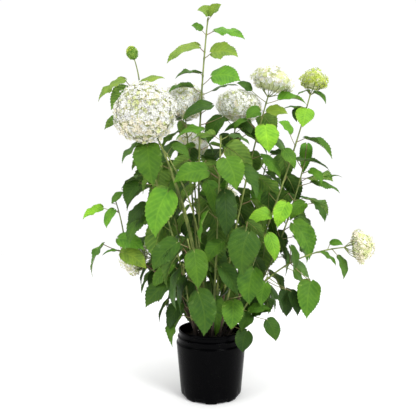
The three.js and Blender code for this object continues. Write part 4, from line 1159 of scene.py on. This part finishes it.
PETALS = [
    petal_material("petal_white", "#D6D6D1", "#EDEDEB"),
    petal_material("petal_cream", "#DCD2B6", "#ECE4CE"),
    petal_material("petal_pale_green", "#C0CB80", "#DEE2AE"),
    petal_material("petal_lime", "#98AF34", "#BBC852"),
    petal_material("floret_bead", "#B9C070", "#D9DA96"),
    petal_material("head_core", "#BBC384", "#DADEB0"),
    petal_material("bud_green", "#5F8A30", "#8BAA48"),
    # a brighter copy of the white petal: painted light on the heads at the back, which stand in shade
    petal_material("petal_painted_lit_white", "#F4F5EE", "#FEFEFD"),
]
WHITE, CREAM, PALE_GREEN, LIME, BEAD_TINT, CORE_TINT, BUD_TINT, PAINTED_LIT_WHITE = range(len(PETALS))
# what the shares of each cane's head are of, in their order
SHARE_TINTS = (WHITE, CREAM, PALE_GREEN, LIME, PAINTED_LIT_WHITE)
# the heads at the back take mostly the lit white copy, as painted light
SHARES = dict(
    ball=(0.84, 0.07, 0.09, 0, 0), rear_left=(0.05, 0.1, 0.15, 0, 0.7),
    centre_right=(0.04, 0.12, 0.1, 0, 0.74), upper_right=(0.36, 0.16, 0.24, 0, 0.24),
    lime=(0, 0, 0.06, 0.94, 0), low_right=(0.1, 0.66, 0.24, 0, 0), low_rear_left=(0.2, 0.1, 0.4, 0, 0.3),
    rear=(0.2, 0.2, 0.12, 0, 0.48), low_rear=(0.2, 0.3, 0.2, 0, 0.3),
)
CORE_RINGS, CORE_SIDES = 9, 18

head_batches = {}
for cane in [c for c in CANES + shoots if "head" in c]:
    kind, shape, tip, centre, first, second, direction, half, tall = head_frame(cane)
    axes = np.stack([first, second, direction])
    name = cane.get("name", "bud")
    batch = head_batches.setdefault(kind if kind != "ball" else name, Batch())
    key = cane["key"]

    def on_head(p, size):
        """A point of the head from a unit direction and a share of the way out."""
        tall_here = tall * (shape["under"] if p[2] < 0 else 1)
        return centre + (np.array([p[0] * half, p[1] * half, p[2] * tall_here]) * size) @ axes

    if kind == "bud":
        for k, p in enumerate(golden_points(150)):
            size = 2.3 + 0.8 * chance(key, 5, k)
            bead = turned(BEAD * (size / 0.19), 6 * chance(key, 6, k), spread(key, 7, k), spread(key, 8, k))
            green = p[2] < 0.1 or chance(key, 9, k) < 0.4
            batch.take(bead + on_head(p, 0.9), BEAD_FACES, BUD_TINT if green else LIME)
    # the core that the stalks and beads make, seen between the florets
    core, core_faces = [], []
    for a in range(CORE_RINGS + 1):
        for b in range(CORE_SIDES):
            lat, lon = math.pi * a / CORE_RINGS, math.tau * b / CORE_SIDES
            p = (math.sin(lat) * math.cos(lon), math.sin(lat) * math.sin(lon), math.cos(lat))
            core.append(on_head(p, shape["core"]))
    for a in range(CORE_RINGS):
        for b in range(CORE_SIDES):
            n = (b + 1) % CORE_SIDES
            i, j = a * CORE_SIDES, (a + 1) * CORE_SIDES
            if a == 0:
                core_faces.append((i + b, j + b, j + n))
            elif a == CORE_RINGS - 1:
                core_faces.append((i + b, j + b, i + n))
            else:
                core_faces.append((i + b, j + b, j + n, i + n))
    batch.take(core, core_faces, BUD_TINT if kind == "bud" else CORE_TINT)
    if kind == "bud":
        continue
    area = 4 * math.pi * half * half * (0.62 if kind == "dome" else tall / half)
    count = int(area / shape["pitch"] ** 2 * 1.25)
    # the florets stand in small rounded clusters
    clusters = golden_points(shape["clusters"])
    jitter = [[spread(key, j, 40 + m) for j in range(3)] for m in range(len(clusters))]
    clusters = clusters + 0.25 * np.array(jitter)
    clusters /= np.linalg.norm(clusters, axis=1)[:, None]
    reach = 1 - 2 / shape["clusters"]
    for k, p in enumerate(golden_points(count)):
        if p[2] < shape["bottom"] + 0.1 * spread(key, 3, k):
            continue
        p = unit(p + 0.05 * np.array([spread(key, 11, k), spread(key, 12, k), spread(key, 13, k)]))
        bulge = (np.max(clusters @ p) - reach) / (1 - reach)
        lump = 0.95 - shape["relief"] * (1 - max(bulge, -0.6))
        lump += 0.05 * spread(key, 14, k) + 0.05 * chance(key, 26, k) ** 5
        place = on_head(p, min(lump, 1.015))
        normal = unit((p * (1 / half, 1 / half, 1 / tall)) @ axes)
        tilt = np.array([spread(key, 15, k), spread(key, 16, k), spread(key, 17, k)])
        normal = unit(normal + shape["tilt"] * tilt)
        x_axis = unit(np.cross(normal, UP + 0.01))
        y_axis = np.cross(normal, x_axis)
        spin = math.tau * chance(key, 18, k)
        span = shape["span"] * (1 + 0.25 * spread(key, 19, k))
        petals = 5 if chance(key, 20, k) > 0.86 else 4
        # partly painted shade and partly their own colour: about half the florets low on a head, more than
        # 0.4 of its half width under its middle, are cream
        low = place[2] < centre[2] - 0.4 * half and chance(key, 27, k) < 0.5
        dealt = np.searchsorted(np.cumsum(SHARES[name]), chance(key, 21, k) * 0.999)
        tint = CREAM if low else SHARE_TINTS[min(dealt, len(SHARE_TINTS) - 1)]
        cup = 1 + 0.9 * spread(key, 22, k)
        for m in range(petals):
            turn = spin + math.tau * m / petals + 0.12 * spread(key, 23, k, m)
            petal = PETAL * (span, span * (1 if petals == 4 else 0.85), span * cup)
            petal = turned(petal, turn, 0.12 * spread(key, 24, k, m), 0.18 * spread(key, 25, k, m))
            batch.take(place + petal @ np.stack([x_axis, y_axis, normal]), PETAL_FACES, tint)
        bead = turned(BEAD * span, spin, 0, 0)
        batch.take(place + bead @ np.stack([x_axis, y_axis, normal]), BEAD_FACES, BEAD_TINT)

for name, batch in head_batches.items():
    head = batch.finish("flowers_" + name, PETALS, smooth=False)
    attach(head, "root")

# The stalks that fan out under a flattened head, from the cane's tip.
RAYS = 11
RAY_RADII = [1.6, 1.3, 1.1, 1, 0.9]
ray_batch = Batch()
for cane in [c for c in CANES if c.get("head", ("",))[0] == "dome"]:
    kind, shape, tip, centre, first, second, direction, half, tall = head_frame(cane)
    root = axis_point(cane, 0.99)
    for k in range(RAYS):
        turn = math.tau * k / RAYS + 0.3 * spread(cane["key"], 31, k)
        out = first * math.cos(turn) + second * math.sin(turn)
        far = centre + out * half * (0.35 + 0.4 * chance(cane["key"], 32, k)) - direction * tall * 0.1
        middle = (root + far) / 2 - direction * 4 + out * 4
        path = [root, (root + middle) / 2, middle, (middle + far) / 2 + out, far]
        tube(ray_batch, path, RAY_RADII, 6)
rays = ray_batch.finish("flower_stalks", [stem_skin])
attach(rays, "root")
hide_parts(*["foliage_" + cane["name"] for cane in CANES])
